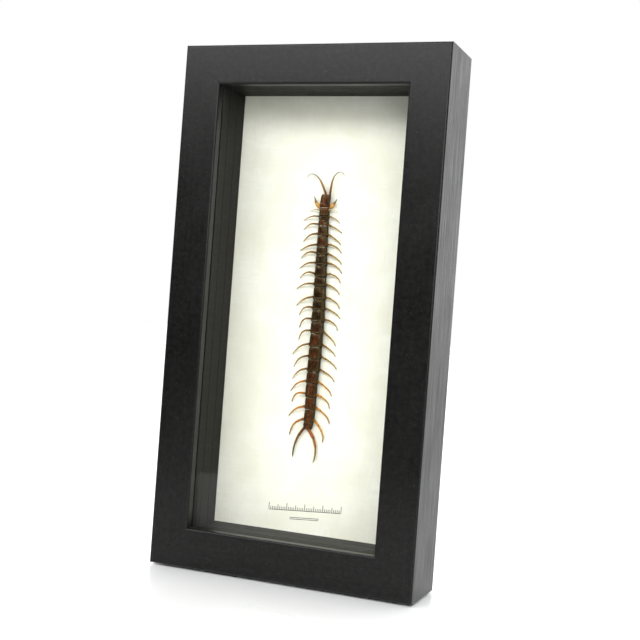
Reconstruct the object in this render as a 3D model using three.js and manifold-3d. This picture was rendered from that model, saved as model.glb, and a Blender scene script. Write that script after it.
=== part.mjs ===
// A centipede mounted on a card in a deep glazed case, life size, in millimetres. +Z is up, the case's
// front faces -Y, X = 0 is its middle, Z = 0 is its foot and Y = 0 is half way through its depth.
import * as THREE from 'three';
import { mergeVertices } from 'three/addons/utils/BufferGeometryUtils.js';
import Module from 'manifold-3d';

const wasm = await Module();
wasm.setup();

// Case
const caseWidth = 140;
const caseHeight = 265;
const caseDepth = 37;
const faceWidth = 20;
const lipDepth = 5;
const rabbet = 6;
const edgeRadius = 1;
const glassThickness = 2;
const linerThickness = 5;
const cardDepth = 33.6;
const cardThickness = 1;
const panelThickness = 1.8;
const hangerLength = 45;
const hangerHeight = 10;
const hangerThickness = 0.8;
const hangerTooth = 3;
const nailHole = 1.2;

// Space left between pieces that touch, and how far a rounded piece is grown to cut it into another
const gap = 0.3;
const cutGrowth = 0.5;

// Centipede. Heights are measured from the card towards the glass.
const trunkFront = 187.9;
const tergiteLengths = [
  4.2, 1.9, 3.4, 5.2, 5.7, 4, 5.4, 6, 4.9, 7, 5.3, 6.1, 6, 6.9, 6.1, 6.7, 6.2, 7.1, 6.2, 6.5, 4,
];
const trunkSplits = [7, 14];
const narrowestTrunk = 5.5;
const trunkSwelling = 1.65;
const trunkFlatness = 0.48;
const headLength = 6.5;
const headWidth = 5.4;
const legRadius = 0.62;
const legTaper = 0.42;
const terminalRadius = { left: 0.82, right: 0.98 };
const terminalTaper = { left: 0.5, right: 0.72 };
const antennaRadius = 0.6;
const antennaTaper = 0.75;
const antennaArticles = 18;
const forcipuleRadius = 0.88;

// Sideways place of the body's middle line at heights up the card
const middleLine = new THREE.CatmullRomCurve3([
  new THREE.Vector3(-1.1, 0, 72),
  new THREE.Vector3(-0.4, 0, 82),
  new THREE.Vector3(-0.4, 0, 95),
  new THREE.Vector3(0.2, 0, 112),
  new THREE.Vector3(0.4, 0, 138),
  new THREE.Vector3(-0.22, 0, 162),
  new THREE.Vector3(-0.5, 0, 186),
  new THREE.Vector3(0.1, 0, 195),
]);

// How each leg lies, pair by pair from the head: its length seen from the front in mm, and its
// direction at the hip and at the claw in degrees, from 0 for straight out to 90 for straight back
const leftLegs = [
  [6.3, -10, 20], [10.1, -5, 35], [10.1, -15, 55], [10.1, 0, 55], [11.1, 5, 35],
  [10.6, -20, 60], [10.7, -5, 45], [10.7, -30, 65], [11.8, -10, 45], [11.8, 5, 50],
  [10.5, -20, 80], [10.5, -20, 90], [10.5, -15, 90], [12.5, 5, 60], [12, 0, 75],
  [11.5, 5, 65], [12, 5, 65], [11.5, -25, 90], [12, 5, 60], [13.5, 12, 85],
];
const rightLegs = [
  [4.9, -25, 40], [7.4, -5, 60], [8.9, 10, 45], [9.4, 15, 55], [9.9, -15, 70],
  [10.4, 5, 60], [10.8, -10, 70], [10.3, -25, 80], [9.7, -5, 70], [10.7, -5, 75],
  [10.5, 0, 60], [10.5, -15, 85], [10.5, 20, 70], [10, 10, 65], [11.5, 5, 65],
  [11, 5, 65], [11.5, 10, 75], [11.5, -5, 90], [12.5, 10, 80], [14, 25, 105],
];

// How much slenderer or stouter than the rest the first and last pairs of legs are
const legGirths = { 1: 0.62, 2: 0.75, 3: 0.92, 18: 1.08, 19: 1.14, 20: 1.2 };
const terminalLegs = { left: [18.3, 47, 93], right: [20.5, 40, 112] };

// Sideways place of the terminal legs' roots from the middle line
const terminalHips = { left: -1.45, right: -0.85 };
const antennae = { left: [19, -64, 85], right: [17.5, -86, 80] };
const forcipules = { left: [8, -28, -88], right: [7, -34, -66] };

const totalDepth = caseDepth + gap + hangerThickness;
const railThickness = faceWidth - rabbet;
const atDepth = (depth) => depth - totalDepth / 2;
const aboveCard = (height) => atDepth(cardDepth - height);

const materials = {
  wood: new THREE.MeshStandardMaterial({ color: 0x1b1a1a, roughness: 0.45, metalness: 0 }),
  glass: new THREE.MeshStandardMaterial({
    color: 0xeef4f2, roughness: 0.03, metalness: 0, transparent: true, opacity: 0.2,
  }),
  liner: new THREE.MeshStandardMaterial({ color: 0x16140f, roughness: 0.8, metalness: 0 }),
  card: new THREE.MeshStandardMaterial({ color: 0xf4f1e6, roughness: 0.95, metalness: 0 }),
  panel: new THREE.MeshStandardMaterial({ color: 0x7a5c3e, roughness: 0.85, metalness: 0 }),
  steel: new THREE.MeshStandardMaterial({ color: 0xb9b6ae, roughness: 0.35, metalness: 1 }),
  shell: new THREE.MeshStandardMaterial({ color: 0x4a2415, roughness: 0.35, metalness: 0 }),
  limb: new THREE.MeshStandardMaterial({ color: 0xa6712f, roughness: 0.4, metalness: 0 }),
  terminal: new THREE.MeshStandardMaterial({ color: 0x9a4a22, roughness: 0.38, metalness: 0 }),
};

const object = new THREE.Group();

function addPiece(name, geometry, material) {
  const mesh = new THREE.Mesh(geometry, material);
  mesh.name = name;
  object.add(mesh);
  return mesh;
}

// Signed volume of a closed surface, which is positive when its faces point out
function signedVolume(positions, index) {
  const corner = [0, 1, 2].map(() => new THREE.Vector3());
  let volume = 0;
  for (let face = 0; face < index.length; face += 3) {
    corner.forEach((point, i) => point.fromArray(positions, index[face + i] * 3));
    volume += corner[0].dot(corner[1].clone().cross(corner[2])) / 6;
  }
  return volume;
}

function closedGeometry(positions, index) {
  if (signedVolume(positions, index) < 0) index.reverse();
  const geometry = new THREE.BufferGeometry();
  geometry.setAttribute('position', new THREE.Float32BufferAttribute(positions, 3));
  geometry.setIndex(index);
  return geometry;
}

// A geometry of three.js with its corners merged and each moved by place(x, y, z)
function shaped(source, place) {
  const bare = source.clone();
  bare.deleteAttribute('normal');
  bare.deleteAttribute('uv');
  const merged = mergeVertices(bare, 1e-4);
  const corners = merged.getAttribute('position');
  const positions = [];
  for (let i = 0; i < corners.count; i += 1) {
    positions.push(...place(corners.getX(i), corners.getY(i), corners.getZ(i)));
  }
  return closedGeometry(positions, Array.from(merged.getIndex().array));
}

// A closed body through rings of points, with a fan over the first ring and over the last
function loft(rings) {
  const count = rings[0].length;
  const positions = rings.flat().flatMap((point) => point.toArray());
  const index = [];
  for (let ring = 0; ring + 1 < rings.length; ring += 1) {
    for (let i = 0; i < count; i += 1) {
      const here = ring * count + i;
      const next = ring * count + ((i + 1) % count);
      index.push(here, next, here + count, next, next + count, here + count);
    }
  }
  [0, rings.length - 1].forEach((ring, end) => {
    const centre = rings[ring].reduce((sum, point) => sum.add(point), new THREE.Vector3());
    const hub = positions.length / 3;
    positions.push(...centre.divideScalar(count).toArray());
    for (let i = 0; i < count; i += 1) {
      const here = ring * count + i;
      const next = ring * count + ((i + 1) % count);
      if (end === 0) index.push(hub, next, here);
      else index.push(hub, here, next);
    }
  });
  return closedGeometry(positions, index);
}

function toSolid(geometry) {
  return new wasm.Manifold(new wasm.Mesh({
    numProp: 3,
    vertProperties: new Float32Array(geometry.getAttribute('position').array),
    triVerts: new Uint32Array(geometry.getIndex().array),
  }));
}

// The largest closed surface of a solid, as a geometry
function fromSolid(solid) {
  const largest = solid.decompose().sort((one, other) => other.volume() - one.volume())[0];
  const mesh = largest.getMesh();
  return closedGeometry(Array.from(mesh.vertProperties), Array.from(mesh.triVerts));
}

function joined(geometry, additions) {
  return fromSolid(additions.reduce((sum, piece) => sum.add(toSolid(piece)), toSolid(geometry)));
}

function cutBy(geometry, cutters) {
  return fromSolid(cutters.reduce((rest, cutter) => rest.subtract(cutter), toSolid(geometry)));
}

// Frame rails: one moulding, mitred at both ends
function mouldingSection() {
  const section = new THREE.Shape();
  section.moveTo(0, edgeRadius);
  section.absarc(edgeRadius, edgeRadius, edgeRadius, Math.PI, Math.PI * 1.5);
  section.absarc(faceWidth - edgeRadius, edgeRadius, edgeRadius, Math.PI * 1.5, Math.PI * 2);
  section.lineTo(faceWidth, lipDepth);
  section.lineTo(railThickness, lipDepth);
  section.lineTo(railThickness, caseDepth);
  section.lineTo(0, caseDepth);
  return section;
}

// place(across, along) gives x and z of a point that far from the rail's outside and from its end
function railGeometry(length, place) {
  const mitreSetback = gap * Math.SQRT1_2;
  const blank = new THREE.ExtrudeGeometry(mouldingSection(), {
    depth: 1, bevelEnabled: false, curveSegments: 3,
  });
  return shaped(blank, (across, depth, end) => {
    const cut = across + mitreSetback;
    const [x, z] = place(across, end < 0.5 ? cut : length - cut);
    return [x, atDepth(depth), z];
  });
}

const halfWidth = caseWidth / 2;
const rails = {
  rail_left: railGeometry(caseHeight, (across, along) => [across - halfWidth, along]),
  rail_right: railGeometry(caseHeight, (across, along) => [halfWidth - across, along]),
  rail_top: railGeometry(caseWidth, (across, along) => [along - halfWidth, caseHeight - across]),
  rail_bottom: railGeometry(caseWidth, (across, along) => [along - halfWidth, across]),
};
Object.entries(rails).forEach(([name, geometry]) => addPiece(name, geometry, materials.wood));

// Flat pieces that fill the rabbet, a gap clear of the rails
const innerWidth = caseWidth - 2 * (railThickness + gap);
const innerHeight = caseHeight - 2 * (railThickness + gap);

function addSheet(name, frontDepth, thickness, material) {
  const sheet = addPiece(name, new THREE.BoxGeometry(innerWidth, thickness, innerHeight), material);
  sheet.position.set(0, atDepth(frontDepth + thickness / 2), caseHeight / 2);
}

const glassDepth = lipDepth + gap;
addSheet('glass', glassDepth, glassThickness, materials.glass);
addSheet('card', cardDepth, cardThickness, materials.card);
addSheet('back_panel', cardDepth + cardThickness + gap, panelThickness, materials.panel);

// Liner: a frame-shaped spacer that holds the card away from the glass
function rectangle(path, width, height) {
  path.moveTo(-width / 2, -height / 2);
  path.lineTo(width / 2, -height / 2);
  path.lineTo(width / 2, height / 2);
  path.lineTo(-width / 2, height / 2);
  path.closePath();
  return path;
}

const linerFront = glassDepth + glassThickness + gap;
const linerLength = cardDepth - gap - linerFront;
const linerOutline = rectangle(new THREE.Shape(), innerWidth, innerHeight);
const sightWidth = innerWidth - 2 * linerThickness;
const sightHeight = innerHeight - 2 * linerThickness;
linerOutline.holes.push(rectangle(new THREE.Path(), sightWidth, sightHeight));
const linerBlank = new THREE.ExtrudeGeometry(linerOutline, { depth: linerLength, bevelEnabled: false });
addPiece('liner', shaped(linerBlank, (x, z, depth) => [
  x, atDepth(linerFront + depth), z + caseHeight / 2,
]), materials.liner);

// Hanger: a toothed steel strip nailed to the back of the top rail
function hangerOutline() {
  const outline = new THREE.Shape();
  const end = hangerLength / 2;
  const toothedHalf = Math.floor((end - hangerHeight) / hangerTooth) * hangerTooth;
  const toothHeight = hangerTooth / 2;
  outline.moveTo(-end, hangerHeight);
  outline.lineTo(-end, 0);
  outline.lineTo(-toothedHalf, 0);
  for (let x = -toothedHalf; x < toothedHalf; x += hangerTooth) {
    outline.lineTo(x + toothHeight, toothHeight);
    outline.lineTo(x + hangerTooth, 0);
  }
  outline.lineTo(end, 0);
  outline.lineTo(end, hangerHeight);
  [-1, 1].forEach((side) => {
    const hole = new THREE.Path();
    hole.absarc(side * (end - hangerHeight / 2), hangerHeight / 2, nailHole, 0, Math.PI * 2);
    outline.holes.push(hole);
  });
  return outline;
}

const hangerFoot = caseHeight - (railThickness + hangerHeight) / 2;
const hangerBlank = new THREE.ExtrudeGeometry(hangerOutline(), {
  depth: hangerThickness, bevelEnabled: false, curveSegments: 4,
});
addPiece('hanger', shaped(hangerBlank, (x, z, depth) => [
  x, atDepth(caseDepth + gap + depth), z + hangerFoot,
]), materials.steel);

// Places along the trunk
const tergiteRear = [];
tergiteLengths.reduce((front, length) => {
  tergiteRear.push(front - length);
  return front - length;
}, trunkFront);
const trunkRear = tergiteRear.at(-1);
const lastTergite = tergiteLengths.length;

// The first two pairs of legs grow from the front of their segments, the others from the rear
const hipFraction = (pair) => [0.32, 0.2][pair - 1] ?? 0.78;
const hipAt = (pair) => {
  const length = tergiteLengths[pair - 1];
  return tergiteRear[pair - 1] + length * (1 - hipFraction(pair));
};

function middleAt(z) {
  let low = 0;
  let high = 1;
  for (let step = 0; step < 24; step += 1) {
    const half = (low + high) / 2;
    if (middleLine.getPoint(half).z < z) low = half;
    else high = half;
  }
  return middleLine.getPoint(low).x;
}

function trunkWidth(z) {
  const along = THREE.MathUtils.clamp((trunkFront - z) / (trunkFront - trunkRear), 0, 1);
  return narrowestTrunk + trunkSwelling * Math.sin(Math.PI * along ** 1.2) ** 1.3;
}

// Right half of the trunk's section from the middle of the back to the middle of the belly, as
// shares of the half width and of the height: back with one lengthwise groove, side edge, flank, belly
const halfSection = [
  [0, 1], [0.24, 0.985], [0.31, 0.93], [0.38, 0.965], [0.72, 0.89], [0.98, 0.66],
  [0.92, 0.5], [0.98, 0.36], [0.8, 0.1], [0.42, 0], [0, 0],
];
const hipPoint = 7;
const hipBulge = 0.12;

// Rings along one tergite: share of its length, width and height there
const tergiteStations = [
  [0.02, 0.93, 0.92], [0.2, 0.98, 0.98], [0.48, 1, 1], [0.78, 1, 1], [0.95, 1.03, 1.04],
];
const lastStations = [
  [0.02, 0.93, 0.92], [0.2, 0.97, 0.98], [0.55, 0.93, 0.95], [0.85, 0.8, 0.85], [1, 0.55, 0.6],
];

function trunkRing(z, widthShare, heightShare, bulge, grow) {
  const reach = (trunkWidth(z) / 2) * widthShare;
  const height = trunkWidth(z) * trunkFlatness * heightShare;
  const middle = middleAt(z);
  const halfHeight = height / 2;
  const side = (sign) => halfSection.map(([across, up], i) => {
    const share = across + (i === hipPoint ? bulge : 0);
    const out = new THREE.Vector2(share * reach, up * height - halfHeight);
    out.setLength(out.length() + grow);
    const lift = Math.max(out.y + halfHeight, 0) + gap - (up === 0 ? grow : 0);
    return new THREE.Vector3(middle + sign * out.x, aboveCard(lift), z);
  });
  return [...side(1), ...side(-1).slice(1, -1).reverse()];
}

function trunkGeometry(first, last, grow = 0) {
  const rings = [];
  const frontZ = first === 1 ? trunkFront : tergiteRear[first - 2] - gap / 2;
  const rearZ = tergiteRear[last - 1];
  for (let number = first; number <= last; number += 1) {
    const length = tergiteLengths[number - 1];
    const front = tergiteRear[number - 1] + length;
    const stations = number === lastTergite ? lastStations : tergiteStations;
    stations.forEach(([along, width, height]) => {
      const isHip = number < lastTergite && Math.abs(along - hipFraction(number)) < 0.15;
      const z = Math.min(front - along * length, frontZ);
      rings.push(trunkRing(z, width, height, isHip ? hipBulge : 0, grow));
    });
  }
  if (last < lastTergite) rings.push(trunkRing(rearZ + gap / 2, 0.93, 0.92, 0, grow));
  if (grow > 0) {
    rings[0].forEach((point) => point.setZ(point.z + gap));
    rings.at(-1).forEach((point) => point.setZ(point.z - gap));
  }
  return loft(rings);
}

// A tapered piece along a path of points, with a radius at each
function tube(points, radii, sides, squash = 1) {
  const depthAxis = new THREE.Vector3(0, 1, 0);
  const rings = points.map((point, i) => {
    const before = points[Math.max(i - 1, 0)];
    const after = points[Math.min(i + 1, points.length - 1)];
    const along = after.clone().sub(before).normalize();
    const across = along.clone().cross(depthAxis).normalize();
    const up = across.clone().cross(along);
    return Array.from({ length: sides }, (_, corner) => {
      const angle = ((corner + 0.5) / sides) * Math.PI * 2;
      return point.clone()
        .addScaledVector(across, Math.cos(angle) * radii[i])
        .addScaledVector(up, Math.sin(angle) * radii[i] * squash);
    });
  });
  return loft(rings);
}

// Path of a limb that turns evenly from its first direction to its last. hold above 1 keeps the
// first direction for longer. heightAt gives the height above the card at a share of the length.
function limbPath(root, side, [length, startDegrees, endDegrees], shares, heightAt, hold = 1) {
  const stepsPerShare = 100;
  const points = [];
  let { x, z } = root;
  let next = 0;
  for (let step = 0; step <= stepsPerShare; step += 1) {
    const share = step / stepsPerShare;
    if (next < shares.length && share >= shares[next] - 1e-6) {
      points.push(new THREE.Vector3(x, aboveCard(heightAt(shares[next])), z));
      next += 1;
    }
    const turned = (share + 0.5 / stepsPerShare) ** hold;
    const angle = THREE.MathUtils.degToRad(THREE.MathUtils.lerp(startDegrees, endDegrees, turned));
    x += (side * Math.cos(angle) * length) / stepsPerShare;
    z -= (Math.sin(angle) * length) / stepsPerShare;
  }
  return points;
}

// Rings at a limb's joints: each segment swells towards its far end and the next starts slimmer
function jointedStations(joints, radiusAt, waist) {
  const stations = [];
  for (let i = 0; i + 1 < joints.length; i += 1) {
    const span = joints[i + 1] - joints[i];
    stations.push([joints[i] + span * 0.1, radiusAt(joints[i]) * waist]);
    stations.push([joints[i + 1] - span * 0.1, radiusAt(joints[i + 1])]);
  }
  return stations;
}

const hipHeight = 1.5;
const legArch = 1.5;
const legDrop = 0.8;
const legHeight = (share) => (
  hipHeight + legArch * Math.sin(Math.PI * Math.min(share / 0.7, 1)) - legDrop * share
);
const legJoints = [0, 0.32, 0.56, 0.76, 0.92];
const legStations = [
  [0, 0.5],
  ...jointedStations(legJoints, (share) => legRadius - legTaper * share, 0.86).slice(1),
  [0.93, 0.2], [1, 0.1],
];

function legGeometry(pair, side, pose) {
  const root = { z: hipAt(pair) };
  root.x = middleAt(root.z) + side * (trunkWidth(root.z) / 2 - 0.5);
  const shares = legStations.map(([share]) => share);
  const radii = legStations.map(([, radius]) => radius * (legGirths[pair] ?? 1));
  return tube(limbPath(root, side, pose, shares, legHeight), radii, 6);
}

// Head: a rounded plate with a broad front
const headRear = trunkFront + gap;
const headStations = [
  [0, 0.84, 0.84], [0.08, 0.95, 0.96], [0.35, 1, 1], [0.65, 0.99, 0.98],
  [0.85, 0.96, 0.87], [0.96, 0.88, 0.66], [1, 0.72, 0.42],
];
const headBelly = 1.7;
const headBack = 3.15;
const headSides = 16;

function headGeometry(grow = 0) {
  const rings = headStations.map(([along, width, height], i) => {
    const ends = { 0: -grow, [headStations.length - 1]: grow };
    const z = headRear + along * headLength + (ends[i] ?? 0);
    const chin = 0.5 * THREE.MathUtils.smoothstep(along, 0.3, 0.6);
    const centre = (headBelly - chin + headBack) / 2;
    const halfHeight = ((headBack - headBelly + chin) / 2) * height + grow;
    const reach = (headWidth / 2) * width + grow;
    return Array.from({ length: headSides }, (_, corner) => {
      const angle = (corner / headSides) * Math.PI * 2;
      const across = Math.sign(Math.cos(angle)) * Math.abs(Math.cos(angle)) ** 0.8;
      const up = Math.sign(Math.sin(angle)) * Math.abs(Math.sin(angle)) ** 0.8;
      return new THREE.Vector3(
        middleAt(z) + across * reach, aboveCard(centre + up * halfHeight), z,
      );
    });
  });
  return loft(rings);
}

// Four simple eyes in a diamond on each front corner of the head
function ocelli() {
  const eyeRadius = 0.32;
  const diamond = [[0, 0.35], [0.35, 0], [0, -0.35], [-0.35, 0]];
  return [-1, 1].flatMap((side) => diamond.map(([forward, up]) => {
    const eye = new THREE.IcosahedronGeometry(eyeRadius, 0);
    const z = headRear + headLength * 0.78 + forward;
    const x = middleAt(z) + side * (headWidth * 0.385 - forward * 0.25);
    return shaped(eye, (dx, dy, dz) => [x + dx, aboveCard(2.4 + up) + dy, z + dz]);
  }));
}

// Plate under the head that carries the forcipules, fused to the first length of the trunk
function forcipulePlate(grow = 0) {
  const stations = [[-3, 0.7], [-1.2, 0.9], [0.6, 1], [1.8, 0.85], [2.5, 0.5]];
  const rings = stations.map(([ahead, width], i) => {
    const z = trunkFront + ahead + (i === stations.length - 1 ? grow : 0);
    return Array.from({ length: 12 }, (_, corner) => {
      const angle = (corner / 12) * Math.PI * 2;
      const reach = 2.4 * width + grow;
      const up = 0.82 + Math.sin(angle) * (0.48 + grow);
      return new THREE.Vector3(middleAt(z) + Math.cos(angle) * reach, aboveCard(up), z);
    });
  });
  return loft(rings);
}

addPiece('head', joined(headGeometry(), ocelli()), materials.shell);
const grownHead = toSolid(headGeometry(gap * 1.15));

const trunkEnds = [0, ...trunkSplits, lastTergite];
const trunkNames = ['trunk_front', 'trunk_middle', 'trunk_rear'];
trunkNames.forEach((name, i) => {
  const length = trunkGeometry(trunkEnds[i] + 1, trunkEnds[i + 1]);
  addPiece(name, i === 0 ? joined(length, [forcipulePlate()]) : length, materials.shell);
});
const grownTrunk = toSolid(trunkGeometry(1, lastTergite, cutGrowth))
  .add(toSolid(forcipulePlate(cutGrowth)));

// Walking legs
const sides = [['left', -1, leftLegs], ['right', 1, rightLegs]];
sides.forEach(([sideName, side, poses]) => {
  poses.forEach((pose, i) => {
    const name = `leg_${sideName}_${String(i + 1).padStart(2, '0')}`;
    addPiece(name, cutBy(legGeometry(i + 1, side, pose), [grownTrunk]), materials.limb);
  });
});

// Terminal legs: thicker, trailing, with small spines on the inner side of the first long segment
const terminalJoints = [0.03, 0.34, 0.58, 0.76, 0.92];
const terminalStations = (sideName) => [
  [0, 0.54],
  ...jointedStations(
    terminalJoints, (share) => terminalRadius[sideName] - terminalTaper[sideName] * share, 0.84,
  ).slice(1),
  [0.93, 0.28], [1, 0.1],
];
const terminalHeight = (share) => 1.6 - 0.6 * share;

function spine(base, direction, length) {
  const cone = new THREE.ConeGeometry(0.26, length, 5);
  const turn = new THREE.Quaternion().setFromUnitVectors(new THREE.Vector3(0, 1, 0), direction);
  const point = new THREE.Vector3();
  return shaped(cone, (x, y, z) => (
    point.set(x, y + length * 0.2, z).applyQuaternion(turn).add(base).toArray()
  ));
}

function terminalLeg(sideName, side) {
  const pose = terminalLegs[sideName];
  const rearHip = trunkRear + 1.4;
  const root = { x: middleAt(rearHip) + terminalHips[sideName], z: rearHip };
  const stations = terminalStations(sideName);
  const shares = stations.map(([share]) => share);
  const radii = stations.map(([, radius]) => radius);
  const leg = tube(limbPath(root, side, pose, shares, terminalHeight), radii, 8);
  const spineShares = [0.2, 0.26, 0.31];
  const spines = limbPath(root, side, pose, spineShares, terminalHeight).flatMap((point) => (
    [0.2, 0.9].map((lean) => {
      const direction = new THREE.Vector3(-side, -lean, -0.6).normalize();
      return spine(point.clone().addScaledVector(direction, 0.62), direction, 0.7);
    })
  ));
  return joined(leg, spines);
}

sides.forEach(([sideName, side]) => {
  const leg = terminalLeg(sideName, side);
  addPiece(`leg_${sideName}_21`, cutBy(leg, [grownTrunk]), materials.terminal);
});

// Antennae: tapering rows of short articles, hooked at the tips
const antennaHeight = (share) => 2.5 - 0.9 * share;

function antennaGeometry(side, pose) {
  const joints = Array.from({ length: antennaArticles + 1 }, (_, i) => i / antennaArticles);
  const radiusAt = (share) => (
    antennaRadius * (1 - antennaTaper * THREE.MathUtils.smoothstep(share, 0.1, 1))
  );
  const stations = jointedStations(joints, radiusAt, 0.88);
  const rootZ = headRear + headLength * 0.84;
  const root = { x: middleAt(rootZ) + 1.25 + side * 0.8, z: rootZ };
  const shares = stations.map(([share]) => share);
  return tube(
    limbPath(root, side, pose, shares, antennaHeight, 4), stations.map(([, radius]) => radius), 6,
  );
}

// Forcipules: stout fangs from the plate under the head, each ending in a curved claw
const forcipuleStations = [
  [0, 0.95], [0.25, 1.12], [0.48, 1.05], [0.6, 0.78], [0.65, 0.56], [0.7, 0.5], [0.87, 0.27], [1, 0.1],
];
const forcipuleHeight = (share) => 1.15 + 0.5 * share;

function forcipuleGeometry(side, pose) {
  const z = trunkFront - 0.3;
  const root = { x: middleAt(z) + side * 2.05, z };
  const shares = forcipuleStations.map(([share]) => share);
  const radii = forcipuleStations.map(([, radius]) => radius * forcipuleRadius);
  return tube(limbPath(root, side, pose, shares, forcipuleHeight), radii, 8, 0.85);
}

sides.forEach(([sideName, side]) => {
  const antenna = antennaGeometry(side, antennae[sideName]);
  addPiece(`antenna_${sideName}`, cutBy(antenna, [grownHead]), materials.limb);
  const forcipule = forcipuleGeometry(side, forcipules[sideName]);
  const clear = cutBy(forcipule, [grownTrunk, grownHead]);
  addPiece(`forcipule_${sideName}`, clear, materials.terminal);
});

export default object;
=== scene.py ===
"""A dried centipede on a card in a deep glazed case, life size, in a soft studio light.

Shapes are worked out in millimetres and made in metres. Z is up, the front of the case faces -Y, Z = 0
is its foot, X = 0 its middle and Y = 0 half way through its depth.
"""

import math

import bmesh
import bpy
from mathutils import Euler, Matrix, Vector, noise


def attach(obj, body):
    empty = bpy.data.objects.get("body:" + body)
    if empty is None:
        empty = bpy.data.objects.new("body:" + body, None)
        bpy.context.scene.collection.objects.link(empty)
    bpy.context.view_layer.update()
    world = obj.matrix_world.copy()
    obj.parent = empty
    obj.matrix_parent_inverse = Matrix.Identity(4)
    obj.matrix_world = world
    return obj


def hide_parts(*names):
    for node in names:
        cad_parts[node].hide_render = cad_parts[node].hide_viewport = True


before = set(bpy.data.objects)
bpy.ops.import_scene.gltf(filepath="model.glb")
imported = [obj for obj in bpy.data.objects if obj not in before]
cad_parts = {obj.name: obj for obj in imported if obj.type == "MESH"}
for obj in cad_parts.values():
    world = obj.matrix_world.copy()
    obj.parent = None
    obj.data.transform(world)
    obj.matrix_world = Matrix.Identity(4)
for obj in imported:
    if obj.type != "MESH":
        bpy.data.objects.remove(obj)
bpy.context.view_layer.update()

MM = 0.001

# Case
CASE_WIDTH = 140
CASE_HEIGHT = 265
CASE_DEPTH = 37
FACE_WIDTH = 20
LIP_DEPTH = 5
RABBET = 6
RAIL_THICKNESS = FACE_WIDTH - RABBET
EDGE_RADIUS = 1
BACK_EDGE_RADIUS = 0.5
MITRE_SETBACK = 0.02
GAP = 0.3
GLASS_THICKNESS = 2
LINER_THICKNESS = 5
CARD_DEPTH = 33.6
CARD_THICKNESS = 1
PANEL_THICKNESS = 1.8
HANGER_LENGTH = 45
HANGER_HEIGHT = 10
HANGER_THICKNESS = 0.8
TOTAL_DEPTH = CASE_DEPTH + GAP + HANGER_THICKNESS
INNER_WIDTH = CASE_WIDTH - 2 * (RAIL_THICKNESS + GAP)
INNER_HEIGHT = CASE_HEIGHT - 2 * (RAIL_THICKNESS + GAP)
GLASS_DEPTH = LIP_DEPTH + GAP
LINER_FRONT = GLASS_DEPTH + GLASS_THICKNESS + GAP
LINER_BACK = CARD_DEPTH - GAP
PANEL_DEPTH = CARD_DEPTH + CARD_THICKNESS + GAP
PRESSED_LINES = (LINER_FRONT + 7.5, LINER_FRONT + 16.5)
SCALE_LEFT = -20.0
SCALE_FOOT = 29.2
SCALE_LENGTH = 40
SCALE_SLOPE = 0.067

# Centipede. Heights are measured from the card towards the glass.
TRUNK_FRONT = 187.9
TERGITE_LENGTHS = (
    4.2, 1.9, 3.4, 5.2, 5.7, 4, 5.4, 6, 4.9, 7, 5.3, 6.1, 6, 6.9, 6.1, 6.7, 6.2, 7.1, 6.2, 6.5, 4,
)
TERGITES = len(TERGITE_LENGTHS)
TERGITE_REARS = [TRUNK_FRONT - sum(TERGITE_LENGTHS[: i + 1]) for i in range(TERGITES)]
TRUNK_REAR = TRUNK_FRONT - sum(TERGITE_LENGTHS)
NARROWEST_TRUNK = 5.5
TRUNK_SWELLING = 1.65
TRUNK_FLATNESS = 0.48
SPIRACLE_SEGMENTS = (3, 5, 8, 10, 12, 14, 16, 18, 20)
HEAD_REAR = TRUNK_FRONT + GAP
HEAD_LENGTH = 6.5
HEAD_WIDTH = 5.4
HEAD_BELLY = 1.7
HEAD_BACK = 3.15
LEG_RADIUS = 0.62
LEG_TAPER = 0.42
HIP_HEIGHT = 1.5
LEG_ARCH = 1.5
LEG_DROP = 0.8
TERMINAL_RADIUS = {"left": 0.82, "right": 0.98}
TERMINAL_TAPER = {"left": 0.5, "right": 0.72}
ANTENNA_RADIUS = 0.6
ANTENNA_TAPER = 0.75
ANTENNA_ARTICLES = 18
FORCIPULE_RADIUS = 0.88

# Height up the card and sideways place of the body's middle line
MIDDLE_LINE = (
    (72, -1.1), (82, -0.4), (95, -0.4), (112, 0.2), (138, 0.4), (162, -0.22), (186, -0.5), (195, 0.1),
)

# How each leg lies, pair by pair from the head: its length seen from the front in mm, and its
# direction at the hip and at the claw in degrees, from 0 for straight out to 90 for straight back
LEFT_LEGS = (
    (6.3, -10, 20), (10.1, -5, 35), (10.1, -15, 55), (10.1, 0, 55), (11.1, 5, 35),
    (10.6, -20, 60), (10.7, -5, 45), (10.7, -30, 65), (11.8, -10, 45), (11.8, 5, 50),
    (10.5, -20, 80), (10.5, -20, 90), (10.5, -15, 90), (12.5, 5, 60), (12, 0, 75),
    (11.5, 5, 65), (12, 5, 65), (11.5, -25, 90), (12, 5, 60), (13.5, 12, 85),
)
RIGHT_LEGS = (
    (4.9, -25, 40), (7.4, -5, 60), (8.9, 10, 45), (9.4, 15, 55), (9.9, -15, 70),
    (10.4, 5, 60), (10.8, -10, 70), (10.3, -25, 80), (9.7, -5, 70), (10.7, -5, 75),
    (10.5, 0, 60), (10.5, -15, 85), (10.5, 20, 70), (10, 10, 65), (11.5, 5, 65),
    (11, 5, 65), (11.5, 10, 75), (11.5, -5, 90), (12.5, 10, 80), (14, 25, 105),
)

# How much slenderer or stouter than the rest the first and last pairs are
LEG_GIRTHS = {1: 0.62, 2: 0.75, 3: 0.92, 18: 1.08, 19: 1.14, 20: 1.2}
TERMINAL_LEGS = {"left": (18.3, 47, 93), "right": (20.5, 40, 112)}
TERMINAL_HIPS = {"left": -1.45, "right": -0.85}
ANTENNAE = {"left": (19, -64, 85), "right": (17.5, -86, 80)}
FORCIPULES = {"left": (8, -28, -88), "right": (7, -34, -66)}
SIDES = (("left", -1, LEFT_LEGS), ("right", 1, RIGHT_LEGS))


def at_depth(depth):
    """The y of a point that far behind the front of the case."""
    return depth - TOTAL_DEPTH / 2


def above_card(height):
    """The y of a point that far in front of the card."""
    return at_depth(CARD_DEPTH - height)


# Curves and numbers


def mix(one, other, share):
    return one + (other - one) * share


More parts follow.
